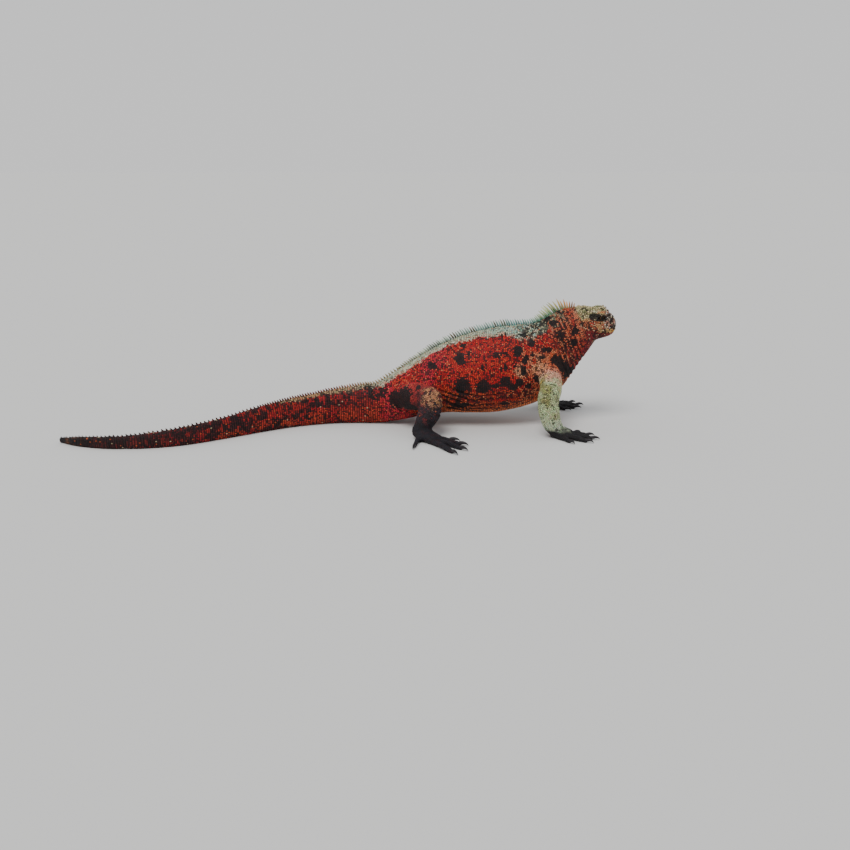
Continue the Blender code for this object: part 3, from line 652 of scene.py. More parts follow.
def sculpt(obj):
    """Move every point of the skin along its normal."""
    p, n = points_of(obj), normals_of(obj)
    tree = tree_of(obj)
    x, y, z = p[:, 0], np.abs(p[:, 1]), p[:, 2]
    on_face = soft(190, 200, x)
    out = -COAT * (1 - 0.45 * on_face)
    out = out + 1.6 * (noise(p, 34, 1) - 0.5) * (1 - on_face) + 0.5 * (noise(p, 7, 2) - 0.5)
    out -= 1.6 * neck_folds(p) + 3.0 * flank_folds(p)
    out -= 1.8 * bell(fold_line(p, *SHOULDER_FOLD), 3.0)
    out -= 1.3 * bell(x - VENT_AT, 0.9) * soft(13, 9, y) * soft(-0.5, -0.8, n[:, 2])
    ridge = bell(p[:, 1], 3.2) * soft(0.4, 0.8, n[:, 2])
    out += ridge * (0.5 + 1.2 * soft(140, 160, x)) * soft(201, 190, x) * soft(-60, -40, x)
    mouth = z - mouth_level(x)
    lips = soft(MOUTH["corner_x"] - 1, MOUTH["corner_x"] + 3, x)
    out += lips * (-1.3 * bell(mouth, 0.6) + 0.5 * bell(mouth - 2.4, 1.5) + 0.6 * bell(mouth + 2.4, 1.5))
    nostril = pit_spread(p, tree, NOSTRIL, NOSTRIL_SIZE)
    out += -3.0 * soft(1.1, 0.55, nostril) + 0.6 * bell(nostril - 1.4, 0.35)
    ear = pit_spread(p, tree, EARDRUM, EAR_SIZE)
    out += -1.9 * soft(1.05, 0.7, ear) + 0.35 * bell(ear - 1.25, 0.2)
    eye = eye_spread(p)
    near_eye = (away_from(p, EYE["centre"]) < 14) & (n[:, 1] * p[:, 1] > 0)
    lids = 0.8 * bell(eye - 1.2, 0.22) - 0.6 * bell(eye - 1.68, 0.12) - 0.5 * bell(eye - 2.6, 0.2)
    out += near_eye * lids
    p += n * out[:, None]
    dx, dz = x - EYE["centre"][0], z - EYE["centre"][2]
    ball = EYE["centre"][1] + np.sqrt(np.clip(EYE["radius"] ** 2 - dx**2 - dz**2, 0, None))
    sunk = near_eye * soft(1.1, 0.97, eye)
    p[:, 1] = np.sign(p[:, 1]) * (np.abs(p[:, 1]) * (1 - sunk) + (ball - BEHIND_BALL) * sunk)
    p[:, 2] = np.maximum(p[:, 2], SOLE)
    obj.data.vertices.foreach_set("co", (p * MM).ravel())
    obj.data.update()


sculpt(skin)
SKIN_TREE = tree_of(skin)
print("sculpted", len(skin.data.vertices), "points")

# %% [markdown]
# Every scale has to know where on the body it sits: on the trunk or on a toe, and which way the tail lies
# from there. The same planes that part the frame's solids sort the points here, and the line of each limb
# gives the direction in which its scales lie.

# %% Planes between the parts
# Each has a place on it and the way beyond it, with y outwards
PLANES = {
    "head": ((211, 0, 148), FACE_WAY),
    "neck": ((176, 0, 116), tuple(NECK_WAY)),
    "tail": ((-84, 0, 36), (-0.98, 0, -0.18)),
    "fore": ((161, 52, 74), (-0.05, 0.97, -0.24)),
    "hind": ((-28, 54, 53), (0.15, 0.98, 0.10)),
    "forefoot": ((163, 88, 21), (0.35, 0, -0.94)),
    "hindfoot": ((-25, 94, 18), (-0.2, 0, -0.98)),
}


def beyond(points, name):
    """How far points lie beyond one of the planes, on either side of the body."""
    place, facing = PLANES[name]
    return (folded(points) - place) @ np.array(facing)


def near_limb(points, limb, side):
    """For each point, the nearest place on a limb's line, how far off it is in radii, and the way on."""
    rows = smooth_rows(limb_line(limb, side), 3)
    away = np.linalg.norm(points[:, None] - rows[None, :, :3], axis=2)
    nearest = away.argmin(axis=1)
    way = np.gradient(rows[:, :3], axis=0)
    way /= np.linalg.norm(way, axis=1)[:, None]
    return nearest / (len(rows) - 1), away.min(axis=1) / rows[nearest, 3], way[nearest]


BLOCK = 20000  # points that are compared with the tail's line in one go, to spare memory


def tail_place(points):
    """For each point, its distance from the vent along the tail, and how far it lies beside that line."""
    far = np.zeros((len(points), 2))
    for start in range(0, len(points), BLOCK):
        own = slice(start, start + BLOCK)
        apart = points[own, None, :2] - TAIL_PATH[None, :, 1:3]
        nearest = (apart**2).sum(axis=2).argmin(axis=1)
        x, y, turn = TAIL_PATH[nearest, 1:].T
        far[own, 0] = TAIL_PATH[nearest, 0]
        far[own, 1] = -(points[own, 0] - x) * np.sin(turn) + (points[own, 1] - y) * np.cos(turn)
    return far[:, 0], far[:, 1]


print("points of skin beyond the neck's plane:", int((beyond(points_of(skin), "neck") > 0).sum()))

# %% Sort points by the part of the body
TORSO, NECK, HEAD_AT, TAIL_AT, ARM, HAND, LEG, FOOT = range(8)
PART_NAMES = ("torso", "neck", "head", "tail", "arm", "hand", "leg", "foot")
FORE_FROM = 60  # the forelimbs are ahead of this x
FOOT_TOP = 26  # and no foot reaches above this height


def sort_points(points):
    """The part of the body of each point, and the direction towards its far end there."""
    part = np.full(len(points), TORSO)
    way = np.tile((-1.0, 0, 0), (len(points), 1))
    neck = beyond(points, "neck") > 0
    part[neck] = NECK
    way[neck] = -NECK_WAY
    part[beyond(points, "head") > 0] = HEAD_AT
    way[part == HEAD_AT] = (-0.97, 0, -0.25)
    tail = beyond(points, "tail") > 0
    distance, _ = tail_place(points[tail])
    turn = np.interp(distance, TAIL_PATH[:, 0], TAIL_PATH[:, 3])
    part[tail] = TAIL_AT
    way[tail] = np.column_stack((-np.cos(turn), -np.sin(turn), 0 * turn))
    for limb, side in STANCE:
        own = (beyond(points, limb) > 0) & (points[:, 1] * SIDES[side] > 0) & ~tail
        own &= (points[:, 0] > FORE_FROM) if limb == "fore" else (points[:, 0] < FORE_FROM)
        _, off, along = near_limb(points[own], limb, side)
        index = np.nonzero(own)[0]
        foot = (beyond(points[own], limb + "foot") > 0) & (points[own][:, 2] < FOOT_TOP)
        keep = (off < 1.6) | foot
        part[index[keep]] = ARM if limb == "fore" else LEG
        part[index[foot]] = HAND if limb == "fore" else FOOT
        way[index[keep]] = along[keep]
        way[index[foot]] = foot_frame(limb, side)[1]
    return part, way


skin_points = points_of(skin)
skin_part, _ = sort_points(skin_points)
print({name: int((skin_part == k).sum()) for k, name in enumerate(PART_NAMES)})

# %% [markdown]
# A marine iguana is covered in thousands of small scales, and each kind of place has its own: beads in
# crosswise rows on the trunk, keeled plates in whorls round the tail, shields along the lips and on the
# toes, and blunt cones on the crown. Rows are laid first. Random points then fill what is left, each
# keeping its distance from those already there, so that no two scales cross.

# %% Rows on trunk and tail
TRUNK_PITCH = 1.95
JITTER = 0.3  # how far trunk scales stray from their rows
WHORL = ((0, 3.6, 2.3), (150, 3.5, 2.2), (350, 3.1, 2.0), (524, 2.6, 1.6))  # distance, pitch, width


def even_ring(ring, spacing, offset):
    """Points spaced evenly round a closed ring."""
    closed = np.vstack((ring, ring[:1]))
    length = np.concatenate(([0], np.cumsum(np.linalg.norm(np.diff(closed, axis=0), axis=1))))
    count = max(6, round(length[-1] / spacing))
    at = ((np.arange(count) + offset) % count) / count * length[-1]
    return np.column_stack([np.interp(at, length, closed[:, k]) for k in range(3)])


def trunk_rows():
    """Crosswise rows of points over trunk and neck."""
    rows = smooth_rows(body_rows(), 12)
    rows = rows[rows[:, 0] > -95]
    made, due, turn = [], 0.0, 0
    for before, row in zip(rows, rows[1:]):
        due += np.linalg.norm(row[[0, 2]] - before[[0, 2]])
        if due >= TRUNK_PITCH:
            due, turn = due - TRUNK_PITCH, turn + 1
            made.append(even_ring(body_ring(row, 160), TRUNK_PITCH * 1.04, 0.5 * (turn % 2)))
    made = np.vstack(made)
    return made + rng.normal(0, JITTER, made.shape)


def tail_rows():
    """Whorls of points round the tail."""
    rows, made, turn = smooth_rows(body_rows(), 12), [], 0
    rows = rows[rows[:, 0] < -70][::-1]
    distance = tail_place(rows[:, :3])[0]
    at = 6.0
    while at < distance[-1] - 1:
        row = [np.interp(at, distance, rows[:, k]) for k in range(rows.shape[1])]
        pitch, width = (np.interp(at, *np.array(WHORL).T[[0, k]]) for k in (1, 2))
        made.append(even_ring(body_ring(row, 96), width, 0.5 * (turn % 2)))
        at, turn = at + pitch, turn + 1
    return np.vstack(made)


# %% Rows on lips, lids and nostrils
LABIAL_PITCH = 2.5
LABIAL_OFF = 1.45  # how far their middles lie above or below the line of the mouth
LID_RINGS = ((1.5, 0.95), (1.9, 1.1), (2.35, 1.3))  # place of each ring, and the room for one scale
LID_CORNER = 1.18  # how pointed the rings are at the eye's corners
NOSTRIL_RING = 1.5
NOSTRIL_COUNT = 15
OUTSIDE = 60  # a place well outside the body, from where rays are cast at it


def labial_rows():
    """Points along both lips."""
    made = []
    for off in (LABIAL_OFF, -LABIAL_OFF):
        line = []
        for degrees in np.arange(-118, 118.5, 0.5):
            angle = math.radians(degrees)
            way = Vector((math.cos(angle), math.sin(angle), 0))
            hit = SKIN_TREE.ray_cast(Vector((234, 0, MOUTH["z"] + off)), way)[0]
            if hit is not None and hit.x > MOUTH["corner_x"] - 1:
                line.append((hit.x, hit.y, float(mouth_level(hit.x)) + off))
        line = np.array(line)
        length = np.concatenate(([0], np.cumsum(np.linalg.norm(np.diff(line, axis=0), axis=1))))
        at = np.arange(LABIAL_PITCH / 2, length[-1], LABIAL_PITCH)
        made.append(np.column_stack([np.interp(at, length, line[:, k]) for k in range(3)]))
    return np.vstack(made)


def lid_rows():
    """Points in rings round both eyes."""
    made = []
    for spread, spacing in LID_RINGS:
        angle = np.linspace(0, 2 * np.pi, 240, endpoint=False)
        c, s = np.cos(angle), np.sin(angle)
        long, tall = np.array(SLIT) * spread
        ahead = np.sign(c) * np.abs(c) ** LID_CORNER * long
        rise = np.sign(s) * np.abs(s) ** LID_CORNER * tall
        ring = np.column_stack((ahead, 0 * c, rise))
        for x, _, z in even_ring(ring, spacing, 0) + np.array(EYE["centre"]) * (1, 0, 1):
            for way in SIDES.values():
                hit = SKIN_TREE.ray_cast(Vector((x, OUTSIDE * way, z)), Vector((0, -way, 0)))[0]
                made.append(tuple(hit))
    return np.array(made)


def nostril_rows():
    """Small scales in a ring round each nostril."""
    made = []
    (x, z), (long, _, tall) = NOSTRIL, NOSTRIL_SIZE
    for way in SIDES.values():
        for turn in np.linspace(0, 2 * np.pi, NOSTRIL_COUNT, endpoint=False):
            at = np.array((math.cos(turn) * long, 0, math.sin(turn) * tall)) * NOSTRIL_RING
            hit = SKIN_TREE.ray_cast(Vector((x + at[0], OUTSIDE * way, z + at[2])), Vector((0, -way, 0)))[0]
            if hit is not None:
                made.append(tuple(hit))
    return np.array(made)


# %% Rows on the toes
SCUTE_PITCH = 2.3


def scute_rows():
    """Points along the tops of the toes."""
    made = []
    for limb, side in STANCE:
        for digit in LIMBS[limb]["digits"]:
            origin, direction, length, _ = digit_line(limb, side, digit)
            for reach in np.arange(2, length, SCUTE_PITCH):
                spot = origin + direction * reach
                hit = SKIN_TREE.ray_cast(Vector((spot[0], spot[1], 30)), Vector((0, 0, -1)))[0]
                if hit is not None:
                    made.append(tuple(hit))
    return np.array(made)


print("places for shields on the toes:", len(scute_rows()))

# %% [markdown]
# How far apart scales stand depends on the place. The lids have the finest, the crown the coarsest. None
# stands in the eye, the mouth, a nostril or on the eardrum.

# %% Say how far apart scales stand
GAPS = {TORSO: 1.75, NECK: 1.5, HEAD_AT: 1.45, TAIL_AT: 2.0, ARM: 1.5, HAND: 1.3, LEG: 1.6, FOOT: 1.35}
BELLY_GAP = 2.4
NOSTRIL_GAP = 1.15
CROWN_MORE = 1.35  # what is added to the head's distance on the crown
SNOUT_MORE = 0.75
JOWL_MORE = 0.8
JOWL = (212, 25, 136)  # the middle of the large shields below the ear
EYE_REACH = 13  # eye and lids lie within this distance of the eye's centre


def by_part(part, values):
    """One value for each point, looked up by its part of the body."""
    return np.array([values[key] for key in range(len(PART_NAMES))])[part]


def spacing(p, n, part):
    """The least distance between scales at each point."""
    gap = by_part(part, GAPS)
    gap = np.where((part == TORSO) & (n[:, 2] < -0.6), BELLY_GAP, gap)
    head = part == HEAD_AT
    crown = head * soft(0.35, 0.62, n[:, 2]) * soft(204, 212, p[:, 0])
    snout = head * soft(243, 251, p[:, 0]) * soft(150, 154, p[:, 2])
    throat = head * soft(-0.2, -0.5, n[:, 2])
    gap = gap + crown * CROWN_MORE + (1 - crown) * snout * SNOUT_MORE - throat * 0.1
    jowl = head * soft(15, 8, away_from(p, JOWL))
    gap = gap + jowl * JOWL_MORE
    rim = head & (pit_spread(p, SKIN_TREE, NOSTRIL, NOSTRIL_SIZE) < 2.4)
    gap = np.where(rim, NOSTRIL_GAP, gap)
    eye = eye_spread(p)
    near = head & (away_from(p, EYE["centre"]) < EYE_REACH)
    return np.where(near, np.interp(eye, (2.2, 3.4), (1.0, 1.45)), gap)


def allowed(p):
    """Whether a scale may stand at each point: not in the eye, mouth, nostril or ear."""
    face = p[:, 0] > 195
    near_eye = face & (away_from(p, EYE["centre"]) < EYE_REACH) & (eye_spread(p) < 1.4)
    in_mouth = (np.abs(p[:, 2] - mouth_level(p[:, 0])) < 0.8) & (p[:, 0] > MOUTH["corner_x"] + 1)
    in_nostril = pit_spread(p, SKIN_TREE, NOSTRIL, NOSTRIL_SIZE) < 1.2
    in_ear = pit_spread(p, SKIN_TREE, EARDRUM, EAR_CLEAR) < 1.0
    return ~(near_eye | in_mouth | in_nostril | in_ear)


print("scales stand", LID_RINGS[0][1], "mm apart on the lids,", GAPS[HEAD_AT] + CROWN_MORE, "mm on the crown")

# %% [markdown]
# Points are thrown at random over the skin, each face getting as many as its area asks for. A search tree
# then tells which of them come too near to one that has settled, and those are dropped.


# %% Throw points and let them settle
HANDFUL = 8000  # points that settle in one go
ROW_REACH = 7.0  # points of rows that lie further off the skin are left out


def drop_on_skin(points, reach):
    """Move points onto the skin, with the skin's normal there; points further off are left out."""
    made = []
    for p in points:
        hit, normal, _, _ = SKIN_TREE.find_nearest(Vector(p), reach)
        if hit is not None:
            made.append((*hit, *normal))
    made = np.array(made)
    return made[:, :3], made[:, 3:]


def throw_points(count):
    """Random points spread evenly over the skin, with its normals there."""
    mesh = skin.data
    mesh.calc_loop_triangles()
    corners = np.empty(len(mesh.loop_triangles) * 3, int)
    mesh.loop_triangles.foreach_get("vertices", corners)
    a, b, c = points_of(skin)[corners.reshape(-1, 3)].transpose(1, 0, 2)
    cross = np.cross(b - a, c - a)
    area = np.linalg.norm(cross, axis=1)
    chosen = rng.choice(len(area), count, p=area / area.sum())
    u, v = rng.random((2, count))
    flip = u + v > 1
    u, v = np.where(flip, 1 - u, u)[:, None], np.where(flip, 1 - v, v)[:, None]
    points = a[chosen] + u * (b - a)[chosen] + v * (c - a)[chosen]
    return points, cross[chosen] / area[chosen, None]


def search_tree(points):
    """A tree that finds the nearest of some points quickly."""
    tree = kdtree.KDTree(max(len(points), 1))
    for k, point in enumerate(points):
        tree.insert(point, k)
    tree.balance()
    return tree


def settle(points, normals, gap, share=1.0):
    """Add to the settled scales those of some points that keep their distance from all others."""
    global seeds, facing
    for start in range(0, len(points), HANDFUL):
        p, n, g = (values[start : start + HANDFUL] for values in (points, normals, gap))
        if len(seeds):
            tree = search_tree(seeds)
            free = np.array([tree.find(q)[2] for q in p]) > g * share
            p, n, g = p[free], n[free], g[free]
        tree = search_tree(p)
        taken = np.ones(len(p), bool)
        for k, point in enumerate(p):
            if taken[k]:
                for _, other, _ in tree.find_range(point, g[k] * share):
                    if other > k:
                        taken[other] = False
        seeds, facing = np.vstack((seeds, p[taken])), np.vstack((facing, n[taken]))


seeds, facing = np.empty((0, 3)), np.empty((0, 3))  # the roots of all scales, and the skin's normals there
for make, wanted, share in (
    (labial_rows, (HEAD_AT,), 0.9),
    (lid_rows, (HEAD_AT,), 0.7),
    (nostril_rows, (HEAD_AT,), 0.6),
    (scute_rows, (HAND, FOOT), 0.9),
    (tail_rows, (TAIL_AT,), 0.78),
    (trunk_rows, (TORSO, NECK), 0.8),
):
    points, normals = drop_on_skin(make(), ROW_REACH)
    part, _ = sort_points(points)
    fits = np.isin(part, wanted) & allowed(points)
    points, normals, part = points[fits], normals[fits], part[fits]
    settle(points, normals, spacing(points, normals, part), share)
    print(make.__name__, len(seeds))
    if make is tail_rows:
        held = len(seeds)  # the scales of lips, lids, nostrils, toes and tail keep their rows

# %% Fill the rest
CANDIDATES = 380000
points, normals = throw_points(CANDIDATES)
part, _ = sort_points(points)
fits = allowed(points) & (points[:, 2] > SOLE * 0.5)
points, normals, part = points[fits], normals[fits], part[fits]
settle(points, normals, spacing(points, normals, part))
seed_part, seed_way = sort_points(seeds)
print("scales:", {name: int((seed_part == k).sum()) for k, name in enumerate(PART_NAMES)})

# %% [markdown]
# A scale is as wide as its neighbours let it be. For each of a few directions round its root, the nearest
# neighbour in that direction sets how far it reaches: half way, less a hair for the gap. This gives every
# scale its own outline, closely packed like cracked mud, without any two crossing.

# %% Fit each scale to its neighbours
NEIGHBOURS = 11
SIDE_COUNT = 6
HEAD_SIDE_COUNT = 9  # the head's scales are seen from close by
FILL = 0.965  # the rest is the gap
WIDEST = 0.72  # where a scale has no neighbour on one side, it reaches no further than this share of a pitch


def fit_outlines(chosen, sides):
    """The way back at the chosen scales, the directions round each root and its reach along each."""
    tree = search_tree(seeds)
    own, out = seeds[chosen], facing[chosen]
    near = np.array([[hit[1] for hit in tree.find_n(point, NEIGHBOURS)] for point in own])[:, 1:]
    way = seed_way[chosen] - out * (seed_way[chosen] * out).sum(axis=1)[:, None]
    way /= np.maximum(np.linalg.norm(way, axis=1), 1e-6)[:, None]
    side = np.cross(out, way)
    angle = 2 * np.pi * np.arange(sides) / sides
    rays = way[:, None] * np.cos(angle)[None, :, None] + side[:, None] * np.sin(angle)[None, :, None]
    apart = seeds[near] - own[:, None]
    length = np.linalg.norm(apart, axis=2)
    along = np.einsum("nkc,njc->nkj", rays, apart)
    reach = np.where(along > 1e-3, length[:, None] ** 2 / (2 * np.maximum(along, 1e-3)), 99).min(axis=2)
    return way, rays, np.minimum(reach, WIDEST * length[:, :4].mean(axis=1)[:, None]) * FILL


ROUNDS = 2  # how often the scales shift towards the middle of their outlines, which evens them out
SHIFTED = 0.9  # the share of that way which they go
ANY_REACH = 9.0  # no scale strays further than this from the skin as it shifts
every = np.arange(len(seeds))
for _ in range(ROUNDS):
    _, rays, reach = fit_outlines(every, SIDE_COUNT)
    moved = seeds + (rays * reach[:, :, None]).mean(axis=1) * SHIFTED
    moved[:held] = seeds[:held]
    seeds, facing = drop_on_skin(moved, ANY_REACH)
_, _, reach = fit_outlines(every, SIDE_COUNT)
print("mean reach", reach.mean().round(2), "mm")

# %% [markdown]
# Most colours are this animal's own. Brick red covers the flanks, with black blotches that stand where they
# stand on it; a band of pale grey-green runs along the back; the arms are green, the hind legs nearly black.
# Folds of neck and flank, the lower flank and the belly's lower edge also carry painted shade and light.
# One function answers what colour the animal has at a point, and both skin and scales ask it.

# %% Colour values
def rgb(red, green, blue):
    """A colour given in the usual 0 to 255 steps, as the linear light that materials use."""
    value = np.array((red, green, blue)) / 255
    return np.where(value <= 0.04045, value / 12.92, ((value + 0.055) / 1.055) ** 2.4)


print("the flank's red in linear light:", rgb(168, 13, 14).round(3))

# %% [markdown]
# Each black mark is one row of numbers: its place, its size and its lean. That is enough, because the border
# of a mark runs along scales and is ragged anyway. The left side wears the same kind of marks, each moved
# and sized anew, as no animal is a mirror image of itself.

# %% Marks
# Black marks on the right side: x, y outwards, z, radius along, radius up, lean in degrees
BLOTCHES = (
    (28.5, 41.6, 106.3, 7.5, 9, 10),
    (34.5, 30.2, 123, 4.5, 3, 0),
    (41.8, 40.8, 112.8, 2.5, 4.2, 0),
    (32.7, 51.3, 68, 12, 12, -30),
    (64.1, 53.3, 67.3, 10.5, 10, 0),
    (82.4, 52.9, 67.8, 4.5, 3, 0),
    (62.7, 50.6, 94.6, 2.2, 4.6, 0),
    (95.6, 52.3, 74, 7.5, 7, 0),
    (105.5, 50.3, 66, 7.5, 5.5, 0),
    (115.9, 49.3, 71.9, 7.5, 6, 20),
    (130.3, 45.1, 66, 3.8, 4.5, 0),
    (122.1, 48.2, 89.8, 4, 7.5, 0),
    (109.2, 49.1, 97.3, 2.5, 2.5, 0),
    (88.4, 51.3, 93.4, 1.9, 3.6, 0),
    (95.3, 50.7, 94.6, 2.6, 4.2, 0),
    (114.3, 43.2, 117, 7.5, 6.5, -35),
    (125.1, 45.5, 105.7, 4, 7, -25),
    (133.9, 35.8, 129.1, 4.5, 5, 0),
    (156.5, 37.6, 119.3, 7.5, 3.6, 0),
    (149.7, 40.9, 107.9, 4.2, 3, 0),
    (135.6, 42.3, 111.9, 2.8, 2.8, 0),
    (141.5, 44, 77.5, 5.5, 5, 0),
    (169.5, 36.9, 104.5, 7, 6, 0),
    (176, 35.0, 98.5, 8.5, 7.5, -45),
    (183, 31.5, 91, 9, 8, -45),
    (191, 22, 82, 7, 9, -40),
    (96.1, 41.4, 38.7, 5.5, 3.7, 0),
    (30.6, 42.2, 36.3, 13, 4.5, 0),
    (197.9, 28.4, 145.4, 5.2, 6.5, 0),
    (197.2, 30.1, 128.6, 4.2, 6.5, 0),
    (-63, 43.5, 42.8, 14, 16, 0),
    (-44.5, 57.3, 36.2, 13, 12, 0),
    (-52.5, 57.9, 55.9, 12, 12, 0),
    (-31.3, 70.2, 69.7, 4.5, 3.5, 0),
    (-11.8, 33.5, 94.4, 7, 5, 0),
    (158.9, 4.4, 160.3, 6, 5, 0),
    (165.8, 20.4, 155.3, 6, 4, 0),
)
FAINT_BLOTCHES = (
    (95.4, 45.5, 113.8, 3, 5, 0),
    (83, 45.5, 112.9, 7, 3.6, 0),
    (236, 9, 134.5, 5, 2.6, 10),
    (90, 30, 139, 5, 2.6, -30),
    (97, 27, 141, 3, 1.8, 30),
    (-88, 20, 50, 9, 7, 0),
    (-99, 18, 42, 7, 6, 0),
    (-107, 20, 55, 9, 7, 0),
    (50, 50, 78, 2, 3, 0),
    (76, 52, 84, 2, 2, 0),
    (46, 47, 90, 1.8, 2.4, 0),
    (12, 47, 84, 2.4, 2, 0),
    (4, 44, 96, 2, 3, 0),
    (150, 14, 158, 8, 5, 0),
    (176, 24, 140, 6, 8, 0),
    (122, 30, 139, 6, 3, 0),
)
# Half width of the pale band from the back's middle line, by x
BAND = (
    (-140, 9),
    (-90, 16),
    (-45, 20),
    (-12, 17),
    (22, 22),
    (59, 25),
    (95, 31),
    (132, 33),
    (154, 30),
    (172, 20),
    (186, 4),
)


def mark(p, spots, side):
    """How strongly a row of marks covers each point, with ragged edges."""
    cover = np.zeros(len(p))
    ragged = 0.6 * (noise(p, 3.2, 11) - 0.5) + 0.4 * (noise(p, 9, 12) - 0.5)
    for x, y, z, long, tall, lean in spots:
        dx, dz, dy = p[:, 0] - x, p[:, 2] - z, (p[:, 1] * side - y) * 0.45
        near = (np.abs(dx) < 40) & (np.abs(dz) < 40) & (dy > -25)
        c, s = math.cos(math.radians(lean)), math.sin(math.radians(lean))
        u, v = (dx[near] * c + dz[near] * s) / long, (dz[near] * c - dx[near] * s) / tall
        spread = np.sqrt(u**2 + v**2 + (dy[near] / max(long, tall)) ** 2) + ragged[near]
        cover[near] = np.maximum(cover[near], soft(1.25, 0.8, spread))
    return cover


def left_of(spots):
    """The same marks for the other side, each moved and sized anew."""
    other = np.random.default_rng(21)
    made = []
    for x, y, z, long, tall, lean in spots:
        size = other.uniform(0.8, 1.2)
        move = other.uniform(-7, 7, 2) if x > -30 else (0, 0)
        made.append((x + move[0], y, z + move[1], long * size, tall * size, lean * other.uniform(-1, 1)))
    return made


LEFT_BLOTCHES, LEFT_FAINT = left_of(BLOTCHES), left_of(FAINT_BLOTCHES)
print("marks on each side:", len(BLOTCHES), "black and", len(FAINT_BLOTCHES), "faint")


# %% Helpers that paint
def mix(colour, other, share):
    """Blend an array of colours towards another colour or array."""
    return colour + (other - colour) * share[:, None]


def flat(p, colour):
    """One colour for all points."""
    return np.tile(rgb(*colour), (len(p), 1))


def streaks(p, way, fine, coarse, layer):
    """Noise drawn out into streaks that run across a direction."""
    along = p @ np.array(way)
    return noise(p + np.outer(along * (coarse / fine - 1), way), coarse, layer)


def arc_from_top(p):
    """Distance from the back's middle line over the skin, roughly."""
    return np.hypot(p[:, 1], 0.85 * (top_of(p[:, 0]) - p[:, 2]))


def band_width(p):
    """Half width of the pale band at each point, with a ragged edge."""
    width = np.interp(p[:, 0], *np.array(BAND).T)
    return width * (0.85 + 0.3 * noise(p, 19, 7)) + 8 * (noise(p, 3.5, 8) - 0.5) + 4 * (noise(p, 9, 9) - 0.5)


print("the band is widest", max(width for _, width in BAND), "mm from the middle of the back")

# %% [markdown]
# A painter works from broad washes to small touches, and so does each of these functions: the ground colour
# first, then a second tone in soft clouds, then bands, folds and specks. Noise of its own layer decides
# where each touch lies, so that no two of them line up.


# %% Paint trunk and tail
def paint_trunk(p):
    """Colours of the trunk."""
    x, z = p[:, 0], p[:, 2]
    colour = mix(flat(p, (168, 13, 14)), rgb(180, 38, 21), 0.85 * soft(0.45, 0.75, noise(p, 17, 3)))
    colour = mix(colour, rgb(178, 28, 46), soft(32, -16, x) * soft(0.25, 0.55, noise(p, 20, 4)))
    tan = soft(112, 150, x + 26 * (noise(p, 16, 5) - 0.5))
    tan = tan * soft(124, 113, z + 10 * (noise(p, 12, 63) - 0.5))
    colour = mix(colour, rgb(176, 84, 50), 0.85 * tan)
    cream = soft(1.3, 0.3, away_from(p, (143, 43, 98)) / 17)
    cream = cream + soft(1.3, 0.3, away_from(p, (117, 49, 88)) / 13)
    colour = mix(colour, rgb(200, 144, 106), 0.85 * np.clip(cream, 0, 1) * soft(0.25, 0.5, noise(p, 6, 13)))
    rise = z - belly_of(x)
    belly = soft(27, 10, rise + 12 * (noise(p, 16, 6) - 0.5)) * soft(-50, -20, x)
    # Darker red patches low on the flank: partly the flank's own colour, partly painted shade under the body
    low = soft(54, 36, rise) * soft(-30, 10, x) * soft(0.3, 0.55, noise(p, 9, 60))
    colour = mix(colour, rgb(100, 11, 14), 0.8 * low)
    colour = mix(colour, rgb(164, 66, 28), belly)
    # Painted light: the belly's lower edge is painted brighter orange than its own colour, against the shade
    # under the body
    colour = mix(colour, rgb(212, 116, 66), 0.85 * soft(15, 6, rise) * soft(-10, 20, x))
    # Painted light on the ridge above each flank fold and painted shade in its crease
    ridges = np.clip(flank_folds(p - np.array((0, 0, 3.2))), 0, 1)
    colour = mix(colour, rgb(206, 96, 54), 0.65 * ridges)
    colour = mix(colour, rgb(20, 9, 9), 0.95 * np.clip(1.35 * flank_folds(p), 0, 1))
    arc, width = arc_from_top(p), band_width(p)
    green = mix(flat(p, (160, 166, 142)), rgb(138, 168, 152), soft(40, 120, x))
    rim = soft(0.5, 1.0, arc / np.maximum(width, 1)) * soft(0.35, 0.6, noise(p, 5, 9))
    green = mix(green, rgb(190, 132, 108), 0.8 * rim)
    green = mix(green, rgb(204, 206, 182), 0.8 * soft(0.6, 0.8, noise(p, 5, 10)))
    green = mix(green, rgb(74, 76, 58), 0.9 * soft(106, 134, x) * soft(0.3, 0.5, noise(p, 6, 14)))
    return mix(colour, green, soft(1.06, 0.94, arc / np.maximum(width, 0.1)) * (width > 0.5))


def paint_tail(p):
    """Colours of the tail."""
    s, beside = tail_place(p)
    depth = np.interp(s, *np.array(TAIL).T[[0, 1]])
    rise = p[:, 2] / depth
    unrolled = np.column_stack((s * 2.0, beside, p[:, 2]))
    colour = mix(flat(p, (152, 30, 26)), rgb(164, 52, 34), soft(0.6, 0.25, rise))
    colour = mix(colour, rgb(150, 22, 28), soft(0.4, 0.7, noise(p, 15, 14)))
    width = np.interp(s, (0, 60, 160, 210), (17, 12, 7, 0)) + 8 * (noise(p, 3.5, 8) - 0.5)
    pale = soft(1.08, 0.85, np.hypot(beside, (1 - rise) * depth) / np.maximum(width, 0.5)) * (width > 0.5)
    net = 0.5 * noise(unrolled, 4.5, 15) + 0.5 * noise(p, 8, 57)
    net = net + 0.14 * (rise - 0.5) + 0.1 * soft(40, 300, s)
    mottle = soft(0.5, 0.6, net) * soft(10, 110, s + 20 * rise)
    colour = mix(colour, rgb(30, 14, 18), 0.9 * mottle)
    grey = mix(flat(p, (158, 158, 132)), rgb(176, 140, 100), soft(20, 120, s))
    colour = mix(colour, grey, 0.85 * pale)
    colour = mix(colour, rgb(50, 16, 18), 0.7 * soft(250, 400, s))
    colour = mix(colour, rgb(20, 14, 17), soft(400, 490, s))
    return mix(colour, rgb(96, 54, 26), 0.6 * soft(470, 490, s) * soft(0.45, 0.7, noise(p, 9, 16)))


print("the middle of the flank is", paint_trunk(np.array([(60.0, -52, 90)]))[0].round(3))


